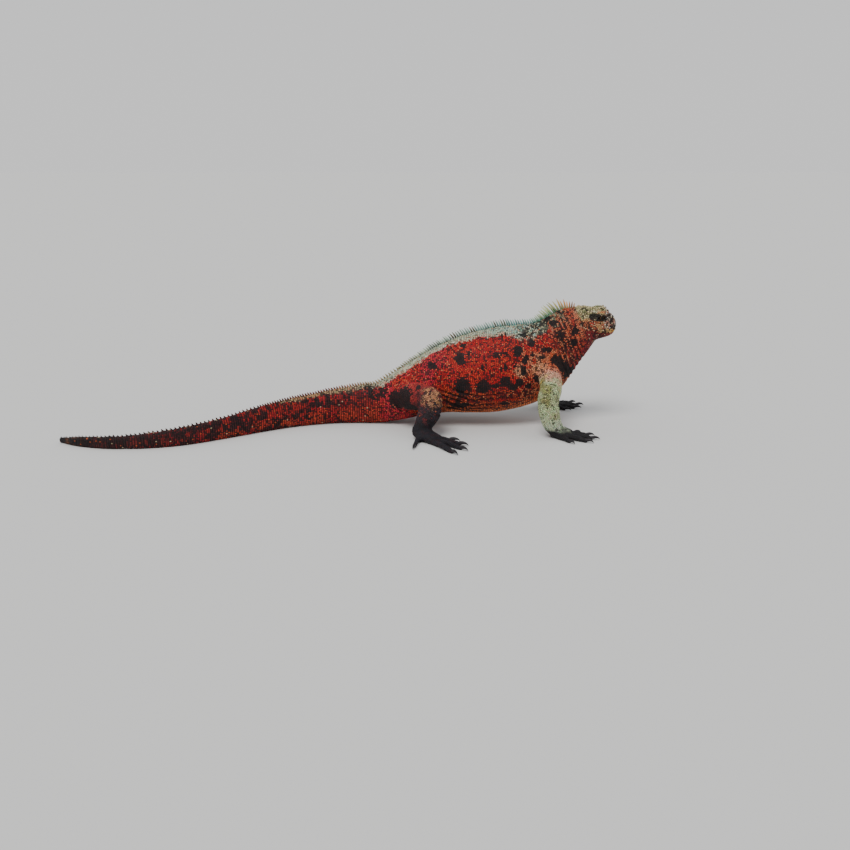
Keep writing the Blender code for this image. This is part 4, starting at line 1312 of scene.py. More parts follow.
# %% Paint the neck
def paint_neck(p, n):
    """Colours of the neck and throat."""
    x = p[:, 0]
    top = soft(0.2, 0.75, n[:, 2])
    colour = mix(flat(p, (158, 34, 25)), rgb(176, 80, 50), soft(0.45, 0.7, noise(p, 9, 17)))
    colour = mix(colour, rgb(192, 66, 40), soft(0.5, 0.7, streaks(p, NECK_WAY, 2.4, 11, 51)))
    under = soft(0.15, -0.4, n[:, 2] + 0.4 * (noise(p, 10, 18) - 0.5))
    colour = mix(colour, rgb(136, 14, 30), under)
    green = top * soft(192, 176, x) * soft(0.3, 0.5, noise(p, 6, 19))
    colour = mix(colour, rgb(120, 140, 112), 0.9 * green)
    dark = soft(0.53, 0.66, streaks(p, NECK_WAY, 2.2, 12, 52))
    colour = mix(colour, rgb(28, 12, 12), 0.88 * dark * (1 - 0.6 * under))
    # Painted light on the ridges of the neck's ring folds and painted shade in their creases
    folds = neck_folds(p)
    ridges = soft(0.12, 0.0, folds) * (1 - under) * soft(198, 206, p @ NECK_WAY)
    colour = mix(colour, rgb(204, 124, 88), 0.5 * ridges)
    return mix(colour, rgb(20, 9, 10), 0.9 * soft(0.2, 0.7, folds) * (1 - 0.4 * top))


neck_side = paint_neck(np.array([(195.0, -30, 120)]), np.array([(0, -1.0, 0)]))
print("the side of the neck is", neck_side[0].round(3))

# %% [markdown]
# The head has the most colours in the least space: khaki crown, pale freckled snout, crimson jaw, yellow
# front lip, a dark mask round the eye and a green eardrum. Each is painted where it lies on the animal,
# with places given in the same millimetres as the shape.


# %% Paint the head
def paint_head(p, n):
    """Colours of the head."""
    x, z = p[:, 0], p[:, 2]
    off_middle = np.abs(p[:, 1]) > 9
    rear = soft(0.42, 0.62, noise(p, 7, 20) + 0.01 * (222 - x))
    colour = mix(flat(p, (166, 92, 60)), rgb(154, 42, 32), rear)
    colour = mix(colour, rgb(184, 134, 92), soft(0.5, 0.7, noise(p, 5, 21)) * soft(212, 230, x))
    jaw = soft(149.5, 141, z + 5 * (noise(p, 8, 54) - 0.5)) * soft(252, 232, x)
    colour = mix(colour, rgb(120, 16, 28), 0.92 * jaw)
    crown = soft(0.1, 0.5, n[:, 2]) * soft(157, 165, z)
    colour = mix(colour, rgb(172, 160, 116), crown)
    colour = mix(colour, rgb(126, 124, 84), crown * soft(0.5, 0.7, noise(p, 6, 22)))
    side_crown = soft(158, 163, z) * soft(232, 218, x) * soft(0.4, 0.6, noise(p, 4, 55))
    colour = mix(colour, rgb(168, 164, 112), 0.8 * side_crown * (1 - crown))
    snout = soft(240, 246, x) * soft(146.5, 149, z)
    colour = mix(colour, rgb(184, 166, 146), 0.92 * snout)
    colour = mix(colour, rgb(172, 104, 84), 0.8 * snout * soft(0.46, 0.6, noise(p, 4.5, 62)))
    colour = mix(colour, rgb(44, 34, 31), 0.85 * snout * soft(0.57, 0.67, noise(p, 5, 61)))
    lower_lip = soft(229, 236, x) * soft(140.5, 142.5, z) * soft(147.5, 146.5, z)
    colour = mix(colour, rgb(180, 144, 94), 0.9 * lower_lip)
    yellow = lower_lip * soft(0.45, 0.6, noise(p, 5, 58)) * soft(236, 244, x)
    colour = mix(colour, rgb(212, 168, 70), 0.9 * yellow)
    colour = mix(colour, rgb(60, 34, 26), 0.8 * lower_lip * soft(0.6, 0.68, noise(p, 3, 59)))
    colour = mix(colour, rgb(122, 28, 28), 0.9 * soft(141.5, 139, z) * soft(228, 236, x))
    eye = eye_spread(p)
    near_eye = away_from(p, EYE["centre"]) < 17
    tilt = (z - 164.0) + 0.12 * (x - 229)
    mask = np.hypot((x - 229) / 11.5, tilt / 5.2)
    mask = mask + 0.35 * (noise(p, 3, 23) - 0.5) + 0.3 * (noise(p, 5, 24) - 0.5)
    colour = mix(colour, rgb(20, 15, 14), 0.94 * soft(1.14, 0.92, mask) * off_middle)
    colour = mix(colour, rgb(20, 15, 14), 0.94 * soft(2.1, 1.8, eye) * near_eye)
    colour = mix(colour, rgb(66, 54, 42), 0.6 * bell(eye - 1.28, 0.16) * near_eye)
    brow = off_middle * bell(z - 171.5, 1.5) * bell(x - 227.5, 5.5)
    colour = mix(colour, rgb(218, 208, 178), 0.9 * brow)
    colour = mix(colour, rgb(194, 140, 92), 0.7 * off_middle * bell(z - 170, 1.5) * bell(x - 238, 4))
    ear = np.hypot((x - EARDRUM[0]) * 1.15, (z - EARDRUM[1]) * 0.8)
    colour = mix(colour, rgb(22, 20, 18), soft(5.6, 4.0, ear + 1.6 * (noise(p, 4, 56) - 0.5)) * off_middle)
    colour = mix(colour, rgb(150, 172, 146), soft(2.7, 1.6, ear) * off_middle)
    speck = soft(0.7, 0.77, noise(p, 4.0, 25)) * (1 - 0.8 * crown) * (1 - snout)
    colour = mix(colour, rgb(22, 14, 13), 0.9 * speck)
    # Painted shade in the pit of the nostril
    pit = np.hypot(x - NOSTRIL[0], z - NOSTRIL[1])
    colour = mix(colour, rgb(8, 6, 6), soft(2.3, 1.6, pit) * (np.abs(p[:, 1]) > 5))
    return mix(colour, rgb(12, 7, 7), soft(1.0, 0.4, np.abs(z - mouth_level(x))) * (x > MOUTH["corner_x"]))


print("the crown is", paint_head(np.array([(222.0, 0, 176)]), np.array([(0, 0, 1.0)]))[0].round(3))


# %% Paint the limbs
def along_limb(p, limb):
    """How far along its limb each point lies, and how far off its line in radii."""
    t, off = np.zeros(len(p)), np.full(len(p), 9.0)
    for side, way in SIDES.items():
        own = p[:, 1] * way > 0
        if own.any():
            t[own], off[own] = near_limb(p[own], limb, side)[:2]
    return t, off


def paint_fore(p, part, t):
    """Colours of the arms and hands."""
    colour = mix(flat(p, (176, 188, 142)), rgb(140, 140, 84), soft(0.5, 0.75, noise(p, 12, 26)))
    colour = mix(colour, rgb(206, 150, 126), soft(0.36, 0.22, t + 0.2 * (noise(p, 12, 27) - 0.5)))
    colour = mix(colour, rgb(206, 178, 90), 0.8 * soft(0.66, 0.8, noise(p, 8, 28)) * soft(0.45, 0.3, t))
    colour = mix(colour, rgb(190, 202, 172), soft(0.62, 0.9, t))
    colour = mix(colour, rgb(96, 84, 50), 0.6 * bell(t - 0.52 - 0.06 * (noise(p, 10, 29) - 0.5), 0.035))
    dark = soft(19, 10, p[:, 2] + 7 * (noise(p, 8, 30) - 0.5)) * (part == HAND)
    return mix(colour, rgb(26, 24, 27), dark)


def paint_hind(p):
    """Colours of the hind legs and feet."""
    colour = mix(flat(p, (42, 30, 38)), rgb(104, 34, 34), soft(0.54, 0.66, noise(p, 4.5, 31)))
    knee = soft(1.3, 0.5, away_from(p, (-8, 89, 62)) / 19 + 0.5 * (noise(p, 8, 32) - 0.5))
    thigh = soft(92, 60, np.abs(p[:, 1]) + 12 * (noise(p, 8, 33) - 0.5)) * soft(36, 54, p[:, 2])
    colour = mix(colour, rgb(168, 36, 30), 0.85 * thigh)
    colour = mix(colour, rgb(176, 122, 84), 0.9 * knee * soft(0.3, 0.5, noise(p, 4, 34)))
    return mix(colour, rgb(24, 22, 31), 0.9 * soft(36, 20, p[:, 2]))


print("the right knee is", paint_hind(np.array([(-8.0, -89, 62)]))[0].round(3))

# %% [markdown]
# Last comes the function that knows the whole animal. It asks the brush of each part for its colours and
# lets them flow into one another over a few millimetres, with noise on the border, where the parts meet.


# %% Paint the whole animal
def paint(p, n, part):
    """The animal's colour at each point, and how strongly a black mark covers it."""
    colour = np.zeros((len(p), 3))
    q = p @ NECK_WAY + 8 * (noise(p, 14, 40) - 0.5)
    h = p @ np.array(FACE_WAY) + 6 * (noise(p, 10, 41) - 0.5)
    trunk = part != TAIL_AT
    own, facing_own = p[trunk], n[trunk]
    made = paint_trunk(own)
    made = mix(made, paint_neck(own, facing_own), soft(198, 214, q[trunk]))
    colour[trunk] = mix(made, paint_head(own, facing_own), soft(244, 253, h[trunk]))
    own = p[~trunk]
    colour[~trunk] = mix(paint_trunk(own), paint_tail(own), soft(-70, -100, own[:, 0]))
    for limb, parts in (("fore", (ARM, HAND)), ("hind", (LEG, FOOT))):
        ahead = p[:, 0] > FORE_FROM if limb == "fore" else p[:, 0] < FORE_FROM
        near = np.nonzero(trunk & ahead & (beyond(p, limb) > -20))[0]
        t, off = along_limb(p[near], limb)
        out = beyond(p[near], limb)
        share = soft(-12, 5, out + 8 * (noise(p[near], 9, 42) - 0.5)) * soft(1.5, 1.15, off)
        share = np.where(np.isin(part[near], parts), np.maximum(share, soft(-12, 0, out)), share)
        painted = paint_fore(p[near], part[near], t) if limb == "fore" else paint_hind(p[near])
        colour[near] = mix(colour[near], painted, share)
    cover = np.zeros(len(p))
    for way, black, faint in ((-1, BLOTCHES, FAINT_BLOTCHES), (1, LEFT_BLOTCHES, LEFT_FAINT)):
        own = (p[:, 1] * way > 0) & (part != HAND) & (part != ARM)
        cover[own] = np.maximum(mark(p[own], black, way), 0.6 * mark(p[own], faint, way))
    return colour, cover


BLACK = rgb(14, 9, 11)
skin_colour, skin_cover = paint(skin_points, normals_of(skin), skin_part)
skin_colour = mix(skin_colour, BLACK, skin_cover)
seed_colour, seed_cover = paint(seeds, facing, seed_part)
print("painted", len(skin_colour), "points of skin and", len(seed_colour), "scales")

# %% [markdown]
# No two neighbouring scales on a real animal match. Each one gets its own shade, and some are much darker
# or paler than the rest, more of them where the animal looks peppered. A black mark has no soft edge: each
# scale near its border is either black or not.

# %% Give each scale its own shade
DARK = rgb(26, 10, 11)
PALE = rgb(206, 190, 152)
TAN = rgb(214, 138, 94)
RUST = rgb(218, 96, 44)
FRECKLE = rgb(232, 224, 208)
SNOUT_DARK, SNOUT_BRIGHT = 0.18, 0.13  # shares of black and of bright freckles on the snout
# Shares of dark, pale and orange scales
PEPPER = {
    "band": (0.13, 0.16, 0.05),
    "front": (0.28, 0.20, 0.08),
    TORSO: (0.29, 0.03, 0.14),
    TAIL_AT: (0.22, 0.008, 0.03),
    NECK: (0.31, 0.07, 0.13),
    HEAD_AT: (0.23, 0.07, 0.02),
    ARM: (0.08, 0.06, 0.0),
    LEG: (0.25, 0.0, 0.015),
    HAND: (0.10, 0.0, 0.0),
    FOOT: (0.10, 0.0, 0.0),
}


def pepper(colour, p, n, part, cover):
    """Scatter dark and pale scales among the others and vary the shade of all."""
    count = len(colour)
    colour = colour * np.exp(rng.normal(0, 0.2, count))[:, None] * np.exp(rng.normal(0, 0.06, (count, 3)))
    band = (part == TORSO) & (arc_from_top(p) < band_width(p))
    front = (part == TORSO) & (p[:, 0] > 118) & ~band
    kinds = [band, front] + [part == key for key in range(len(PART_NAMES))]
    shares = [PEPPER["band"], PEPPER["front"]] + [PEPPER[key] for key in range(len(PART_NAMES))]
    dark_share, pale_share, orange_share = (np.select(kinds, [s[k] for s in shares], 0.0) for k in range(3))
    dark_share = dark_share + 0.3 * band * soft(106, 128, p[:, 0])
    throat = (part == NECK) * soft(0.1, -0.3, n[:, 2])
    dark_share, pale_share = dark_share * (1 - 0.45 * throat), pale_share * (1 - 0.8 * throat)
    patchy = 2 * noise(p, 3.2, 50) * (0.6 + 0.8 * noise(p, 14, 53))
    dice = rng.random(count)
    crown = (part == HEAD_AT) & (p[:, 2] > 166) & (p[:, 0] < 246)
    dark = dice < dark_share * patchy * np.where(crown, 0.35, 1)
    pale = dice > 1 - pale_share * patchy
    orange = (rng.random(count) < orange_share) & ~dark & ~pale & ~crown
    snout = (part == HEAD_AT) & (p[:, 0] > 241) & (p[:, 2] > 147)
    dark |= snout & (rng.random(count) < SNOUT_DARK)
    bright = snout & ~dark & (rng.random(count) < SNOUT_BRIGHT)
    colour = mix(colour, DARK, 0.86 * dark)
    colour = mix(colour, FRECKLE, 0.8 * bright)
    colour = mix(colour, RUST, 0.5 * orange)
    trunk = ((part == TORSO) & ~band) | (part == NECK)
    colour = mix(colour, np.where(trunk[:, None], TAN, PALE), 0.5 * pale)
    colour = mix(colour, BLACK, 0.96 * (cover > rng.uniform(0.2, 0.8, count)))
    return np.clip(colour, 0.002, 0.95)


seed_colour = pepper(seed_colour, seeds, facing, seed_part, seed_cover)
print("mean colour of the flank", seed_colour[seed_part == TORSO].mean(axis=0).round(3))

# %% [markdown]
# Each scale becomes a low cushion: a rim sunk in the skin, a shoulder, and a peak that leans towards the
# tail. The rim is painted dark as painted shade between scales, and the peak is painted lighter as a painted
# highlight. All scales of one part of the body are one mesh, built from arrays in one go, which takes a
# second where a loop over faces would take minutes.

# %% Shape the scales
# How each kind rises: share of the reach, share of the height, lean of the ring towards the tail
CUSHION = ((1.0, -0.22, 0.0), (0.83, 0.62, 0.05), (0.0, 1.0, 0.18))
KEEL = ((1.0, -0.25, 0.0), (0.84, 0.50, 0.12), (0.0, 1.0, 0.44))
CONE = ((1.0, -0.2, 0.0), (0.84, 0.32, 0.0), (0.42, 0.78, 0.04), (0.0, 1.0, 0.10))
# Painted shade and highlight on the rings of a scale: dark at the sunk rim, lighter at the peak
SCALE_PAINTED_SHADE_AND_HIGHLIGHT = (0.14, 0.88, 1.2)
CONE_PAINTED_SHADE_AND_HIGHLIGHT = (0.14, 0.62, 1.0, 1.25)
TALL = {TORSO: 0.5, NECK: 0.5, HEAD_AT: 0.62, TAIL_AT: 0.95, ARM: 0.4, HAND: 0.38, LEG: 0.5, FOOT: 0.4}
CONE_TALL = 1.8


def heights(p, n, part):
    """How high the scales stand at each point."""
    tall = by_part(part, TALL)
    tall = np.where((part == TORSO) & (n[:, 2] < -0.5), 0.3, tall)
    head = part == HEAD_AT
    tall = tall + head * (0.7 * soft(243, 250, p[:, 0]) * soft(150, 155, p[:, 2]))
    tall = np.where(head & (n[:, 2] < -0.2), 0.42, tall)
    eye = eye_spread(p)
    near = head & (away_from(p, EYE["centre"]) < EYE_REACH)
    tall = np.where(near, np.interp(eye, (1.4, 3.2), (0.16, 0.5)), tall)
    tall = np.where(head & (pit_spread(p, SKIN_TREE, NOSTRIL, NOSTRIL_SIZE) < 2.1), 0.3, tall)
    jowl = head * soft(14, 7, away_from(p, JOWL))
    return tall + 0.5 * jowl


def is_cone(p, n, part):
    """Whether a scale is one of the blunt cones of crown and brow."""
    place = (p[:, 0] > 205) & (p[:, 0] < 250) & (eye_spread(p) > 2.6)
    return (part == HEAD_AT) & (n[:, 2] > 0.5) & place


seed_height = heights(seeds, facing, seed_part) * np.exp(rng.normal(0, 0.13, len(seeds)))
seed_cone = is_cone(seeds, facing, seed_part)
cone_height = CONE_TALL * np.exp(rng.normal(0, 0.22, len(seeds)))
seed_height = np.where(seed_cone, cone_height, seed_height)
print("cones on the crown:", int(seed_cone.sum()))


# %% Turn scales into points and faces
MAP_SPREAD = 0.0015  # how wide one scale lies on the map of its piece


def ring_faces(a, sides):
    """Four-sided faces from the ring of points that starts at number a to the ring after it."""
    k = np.arange(sides)
    n = (k + 1) % sides
    return np.column_stack((a + k, a + n, a + sides + n, a + sides + k))


def cap_faces(a, sides):
    """Three-sided faces from the ring of points that starts at number a to the one point after it."""
    k = np.arange(sides)
    return np.column_stack((a + k, a + (k + 1) % sides, np.full(sides, a + sides)))


def scale_arrays(chosen, rings, painted_shade_and_highlight, roots, sides):
    """Points, faces, colours and map places of the chosen scales."""
    way, rays, reach = fit_outlines(chosen, sides)
    count = len(chosen)
    per = sides * (len(rings) - 1) + 1
    points = np.empty((count, per, 3))
    colours = np.empty((count, per, 3))
    places = np.empty((count, per, 2))
    angle = 2 * np.pi * np.arange(sides) / sides
    spread = np.column_stack((np.cos(angle), np.sin(angle))) * MAP_SPREAD
    size = reach.mean(axis=1)
    # Each ring takes the scale's colour times its painted shade, dark at the rim and light at the peak
    for level, ((wide, tall, lean), shade) in enumerate(zip(rings, painted_shade_and_highlight)):
        rise = np.where(tall < 0, tall, tall * seed_height[chosen])
        middle = seeds[chosen] + facing[chosen] * rise[:, None] + way * (lean * size)[:, None]
        start = level * sides
        if wide == 0:
            points[:, -1], places[:, -1] = middle, roots
            colours[:, -1] = seed_colour[chosen] * shade
        else:
            out = rays * (reach * wide)[:, :, None]
            points[:, start : start + sides] = middle[:, None] + out
            places[:, start : start + sides] = roots[:, None] + spread * wide
            colours[:, start : start + sides] = (seed_colour[chosen] * shade)[:, None]
    top = per - 1 - sides
    quads = np.vstack([ring_faces(a, sides) for a in range(0, top, sides)])
    caps = cap_faces(top, sides)
    base = np.arange(count)[:, None, None] * per
    return points.reshape(-1, 3), colours.reshape(-1, 3), places.reshape(-1, 2), quads + base, caps + base


print("a scale of the trunk has", SIDE_COUNT * 3, "triangles, one of the head", HEAD_SIDE_COUNT * 3)


# %% Turn arrays into meshes
def mesh_object(name, points, colours, places, quads, caps):
    """A mesh with its colours and its map, from arrays in millimetres."""
    quads, caps = quads.reshape(-1, 4), caps.reshape(-1, 3)
    corners = np.concatenate((quads.ravel(), caps.ravel())).astype(np.int32)
    sizes = np.concatenate((np.full(len(quads), 4), np.full(len(caps), 3)))
    mesh = bpy.data.meshes.new(name)
    mesh.vertices.add(len(points))
    mesh.loops.add(len(corners))
    mesh.polygons.add(len(sizes))
    mesh.vertices.foreach_set("co", ((points + SHIFT) * MM).ravel())
    mesh.loops.foreach_set("vertex_index", corners)
    mesh.polygons.foreach_set("loop_start", np.concatenate(([0], np.cumsum(sizes)[:-1])).astype(np.int32))
    mesh.polygons.foreach_set("use_smooth", np.ones(len(sizes), bool))
    mesh.update(calc_edges=True)
    give_paint(mesh, colours)
    layer = mesh.uv_layers.new(name="OFBake")
    layer.data.foreach_set("uv", places[corners].ravel())
    mesh.validate()
    made = bpy.data.objects.new(name, mesh)
    bpy.context.scene.collection.objects.link(made)
    return made


def give_paint(mesh, colours):
    """Store a colour at each point of a mesh."""
    layer = mesh.color_attributes.new(name="paint", type="FLOAT_COLOR", domain="POINT")
    whole = np.column_stack((colours, np.ones(len(colours))))
    layer.data.foreach_set("color", whole.ravel())


print("each mesh carries its paint and a map")

# %% [markdown]
# A finish is one material with its own small detail: a fine noise that breaks the colour, another that
# makes some spots duller, and a bump for the grain of horn that is too small to model.

# %% Finishes
def add_node(tree, kind, values=()):
    """A new node of some kind, with the named inputs set."""
    node = tree.nodes.new("ShaderNode" + kind)
    for name, value in dict(values).items():
        node.inputs[name].default_value = value
    return node


def join(tree, *links):
    """Link nodes: each link names a node, its output, the next node and its input."""
    for source, output, target, entry in links:
        tree.links.new(source.outputs[output], target.inputs[entry])


def finish(name, dull, bump, grain, gloss=0.3):
    """A material that takes its colour from the painted points."""
    material = bpy.data.materials.new(name)
    material.use_nodes = True
    tree = material.node_tree
    shader = tree.nodes["Principled BSDF"]
    shader.inputs["Specular IOR Level"].default_value = gloss
    where = add_node(tree, "TexCoord")
    fine = add_node(tree, "TexNoise", {"Scale": grain, "Detail": 5})
    broad = add_node(tree, "TexNoise", {"Scale": grain / 9, "Detail": 3})
    painted = add_node(tree, "VertexColor")
    painted.layer_name = "paint"
    shade = add_node(tree, "MapRange", {"To Min": 0.72, "To Max": 1.28})
    tint = add_node(tree, "VectorMath")
    tint.operation = "SCALE"
    rough = add_node(tree, "MapRange", {"From Min": 0.3, "From Max": 0.7})
    rough.inputs["To Min"].default_value, rough.inputs["To Max"].default_value = dull
    relief = add_node(tree, "Bump", {"Strength": bump, "Distance": 0.0002})
    join(
        tree,
        (where, "Object", fine, "Vector"),
        (where, "Object", broad, "Vector"),
        (painted, "Color", tint, 0),
        (fine, "Fac", shade, "Value"),
        (shade, "Result", tint, "Scale"),
        (tint, "Vector", shader, "Base Color"),
        (broad, "Fac", rough, "Value"),
        (rough, "Result", shader, "Roughness"),
        (fine, "Fac", relief, "Height"),
        (relief, "Normal", shader, "Normal"),
    )
    return material


# How dull each finish is at its two extremes, the strength of its bumps and how fine they are
FINISHES = {
    "flank_skin": finish("flank_scales", (0.55, 0.72), 0.35, 1400),
    "neck_skin": finish("neck_scales", (0.55, 0.72), 0.35, 1500),
    "head_skin": finish("head_scales", (0.5, 0.7), 0.4, 1600),
    "tail_skin": finish("tail_scales", (0.5, 0.7), 0.4, 1200),
    "arm_skin": finish("arm_scales", (0.55, 0.72), 0.35, 1500),
    "leg_skin": finish("leg_scales", (0.5, 0.66), 0.35, 1500),
    "claw_horn": finish("horn", (0.38, 0.55), 0.3, 1800),
    "eye_ball": finish("wet_eye", (0.05, 0.08), 0.0, 2500, 0.18),
}


def place_piece(obj, slot, *nodes):
    """Give a piece its finish, let it ride on the body and hide the solids that it takes the place of."""
    obj.data.materials.clear()
    obj.data.materials.append(FINISHES[slot])
    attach(obj, "root")
    if nodes:
        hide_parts(*nodes)


print("finishes:", ", ".join(FINISHES))

# %% [markdown]
# The skin goes in first: one piece in place of all the solids of flesh.

# %% Set the skin in place
# Painted shade: the skin between the scales is painted dark, the bare eardrum less so
SKIN_PAINTED_SHADE = 0.15  # how dark the skin is between the scales
BARE_PAINTED_SHADE = 0.8  # the eardrum has no scales over it
FLESH = ["head", "neck", "torso", "tail_base", "tail_middle", "tail_end", "tail_tip"]
LIMB_SOLIDS = ("upper_arm", "forearm", "forefoot", "thigh", "shank", "hindfoot")
for side in SIDES:
    FLESH += [f"{piece}_{side}" for piece in LIMB_SOLIDS]
# The skin's colour darkened by its painted shade
bare = soft(0.95, 0.6, pit_spread(skin_points, SKIN_TREE, EARDRUM, EAR_CLEAR))
shade = SKIN_PAINTED_SHADE + (BARE_PAINTED_SHADE - SKIN_PAINTED_SHADE) * bare
give_paint(skin.data, np.clip(skin_colour * shade[:, None], 0.002, 0.95))
skin.data.vertices.foreach_set("co", ((skin_points + SHIFT) * MM).ravel())
skin.data.polygons.foreach_set("use_smooth", np.ones(len(skin.data.polygons), bool))
skin.data.update()
place_piece(skin, "flank_skin", *FLESH)
print("the skin stands for", len(FLESH), "solids")

# %% [markdown]
# Then the scales, one piece for each part of the body. Each piece carries a map that unrolls its part: the
# way round it one way, the way along it the other way. Feet are laid flat, with soles beside backs.


# %% Unroll each part for its map
MARGIN = 0.01


def box_in(a, b, corner, size):
    """Scale two rows of numbers into a corner of the map."""
    a = (a - a.min()) / max(np.ptp(a), 1e-6)
    b = (b - b.min()) / max(np.ptp(b), 1e-6)
    across = corner[0] + MARGIN + a * (size[0] - 2 * MARGIN)
    return np.column_stack((across, corner[1] + MARGIN + b * (size[1] - 2 * MARGIN)))


def unroll(chosen, kind):
    """The place of each chosen root on the map of its part."""
    p, n, part = seeds[chosen], facing[chosen], seed_part[chosen]
    if kind == "tail":
        s, beside = tail_place(p)
        middle = np.interp(s, *np.array(TAIL).T[[0, 1]]) / 2 - SINK
        return box_in(np.arctan2(beside, p[:, 2] - middle), s, (0, 0), (1, 1))
    if kind in ("fore", "hind"):
        places = np.zeros((len(p), 2))
        side = "right" if p[:, 1].mean() < 0 else "left"
        foot = np.isin(part, (HAND, FOOT))
        line = limb_line(kind, side)
        t, _, along = near_limb(p[~foot], kind, side)
        rows = smooth_rows(line, 3)
        off = p[~foot] - rows[np.round(t * (len(rows) - 1)).astype(int), :3]
        ahead = np.cross(along, (0, 0, 1.0))
        angle = np.arctan2((off * ahead).sum(axis=1), (off * np.cross(ahead, along)).sum(axis=1))
        places[~foot] = box_in(angle, t, (0, 0), (1, 0.4))
        for level, sole in enumerate((n[:, 2] < 0, n[:, 2] >= 0)):
            own = foot & sole
            places[own] = box_in(p[own, 0], p[own, 1], (0.5 * level, 0.4), (0.5, 0.6))
        return places
    axis = {"trunk": belly_of(p[:, 0]) * 0.55 + top_of(p[:, 0]) * 0.45, "neck": 140, "head": 150}[kind]
    along = p @ NECK_WAY if kind == "neck" else p[:, 0]
    return box_in(np.arctan2(p[:, 1], p[:, 2] - axis), along, (0, 0), (1, 1))


print("first place on the map of the neck:", unroll(np.nonzero(seed_part == NECK)[0], "neck")[0].round(3))


# %% Grow the scales
FLOOR_GAP = 0.03  # the lowest that any scale may reach


def grow(name, chosen, kind, slot):
    """Make one piece of scales, cushions and cones together."""
    chosen = np.nonzero(chosen)[0]
    roots = unroll(chosen, kind)
    cones = seed_cone[chosen]
    rings = KEEL if kind == "tail" else CUSHION
    sides = HEAD_SIDE_COUNT if kind == "head" else SIDE_COUNT
    made = [scale_arrays(chosen[~cones], rings, SCALE_PAINTED_SHADE_AND_HIGHLIGHT, roots[~cones], sides)]
    if cones.any():
        made.append(scale_arrays(chosen[cones], CONE, CONE_PAINTED_SHADE_AND_HIGHLIGHT, roots[cones], sides))
        made[1] = (*made[1][:3], made[1][3] + len(made[0][0]), made[1][4] + len(made[0][0]))
    points = np.vstack([m[0] for m in made])
    points[:, 2] = np.maximum(points[:, 2], FLOOR_GAP)
    colours, places = (np.vstack([m[k] for m in made]) for k in (1, 2))
    quads = np.vstack([m[3].reshape(-1, 4) for m in made])
    caps = np.vstack([m[4].reshape(-1, 3) for m in made])
    place_piece(mesh_object(name, points, colours, places, quads, caps), slot)
    print(name, "has", len(chosen), "scales and", 2 * len(quads) + len(caps), "triangles")


right = seeds[:, 1] < 0
grow("scales_trunk_right", (seed_part == TORSO) & right, "trunk", "flank_skin")
grow("scales_trunk_left", (seed_part == TORSO) & ~right, "trunk", "flank_skin")
grow("scales_neck", seed_part == NECK, "neck", "neck_skin")
grow("scales_head", seed_part == HEAD_AT, "head", "head_skin")
grow("scales_tail", seed_part == TAIL_AT, "tail", "tail_skin")
for side, own in (("right", right), ("left", ~right)):
    grow(f"scales_arm_{side}", np.isin(seed_part, (ARM, HAND)) & own, "fore", "arm_skin")
    grow(f"scales_leg_{side}", np.isin(seed_part, (LEG, FOOT)) & own, "hind", "leg_skin")

# %% [markdown]
# The crest is a single row of spines from the nape to the tail's tip. Each is a flat blade that narrows and
# bends back. They are longest on the nape, low over the shoulders, longer again along the trunk. Tables give
# their height, their distance and their colours at a few places, and all spines between follow from those.

# %% Heights and colours of the crest
# Distance from the nape, height, pitch, root length, lean in degrees
CREST_STEPS = (
    (0, 8.0, 2.6, 2.4, -16),
    (10, 12.5, 2.9, 2.9, 2),
    (16, 17.0, 3.2, 3.3, 12),
    (26, 18.5, 3.4, 3.6, 17),
    (38, 17.0, 3.4, 3.6, 19),
    (48, 11.5, 3.1, 3.2, 20),
    (58, 8.2, 3.1, 2.9, 20),
    (76, 8.6, 3.2, 3.0, 20),
    (95, 11.0, 3.3, 3.1, 20),
    (150, 10.8, 3.3, 3.1, 20),
    (205, 9.0, 3.3, 3.1, 19),
    (258, 6.0, 3.3, 3.1, 20),
    (420, 4.8, 3.9, 3.2, 24),
    (600, 3.7, 4.3, 3.2, 26),
    (785, 2.4, 4.4, 2.6, 28),
)
CREST_START_X = 198.5
# Rings of one spine: share of its height, width and thickness there
BLADE = (
    (0.0, 1.1, 1.0),
    (0.16, 1.0, 0.94),
    (0.38, 0.88, 0.8),
    (0.62, 0.68, 0.6),
    (0.84, 0.38, 0.34),
    (1.0, 0.0, 0.0),
)
BLADE_THICK = 0.5
BLADE_SIDES = 8
BLADE_ROOT = 1.0  # how deep a spine sits in the skin
SPINE_BROWN = np.array((0.62, 0.40, 0.28))  # how the few brown spines differ from their neighbours
BROWN_SPOTS = (104, 115, 147, 176)  # where they stand, in distance from the nape
# Colours by distance from the nape: tip, then root
SPINE_COLOURS = (
    (0, (178, 112, 58), (124, 92, 60)),
    (12, (202, 138, 68), (116, 112, 72)),
    (24, (196, 192, 122), (80, 112, 84)),
    (44, (184, 198, 144), (66, 116, 98)),
    (62, (130, 172, 150), (38, 94, 90)),
    (85, (126, 170, 160), (44, 102, 98)),
    (130, (136, 168, 154), (62, 102, 92)),
    (220, (146, 156, 130), (78, 88, 70)),
    (300, (178, 160, 118), (116, 84, 58)),
    (360, (126, 62, 46), (80, 38, 32)),
    (500, (74, 36, 33), (42, 25, 26)),
    (800, (34, 26, 28), (20, 18, 20)),
)
print("the tallest spines are", max(row[1] for row in CREST_STEPS), "mm high")


# %% Seats of the crest
OVERHEAD = 300  # a height well above the animal, from where rays are cast down at it
EVENED = 12  # over how many rows to each side the slope of the back is evened


def crest_line():
    """Rows along the middle of the back: distance from the nape, x, y and the way back."""
    xs = np.arange(CREST_START_X, VENT_X, -0.5)
    rows = [(CREST_START_X - x, x, 0, -1, 0) for x in xs]
    start = CREST_START_X - VENT_X
    for s, x, y, turn in TAIL_PATH:
        rows.append((start + s, x, y, -math.cos(turn), -math.sin(turn)))
    return np.array(rows[:-3])


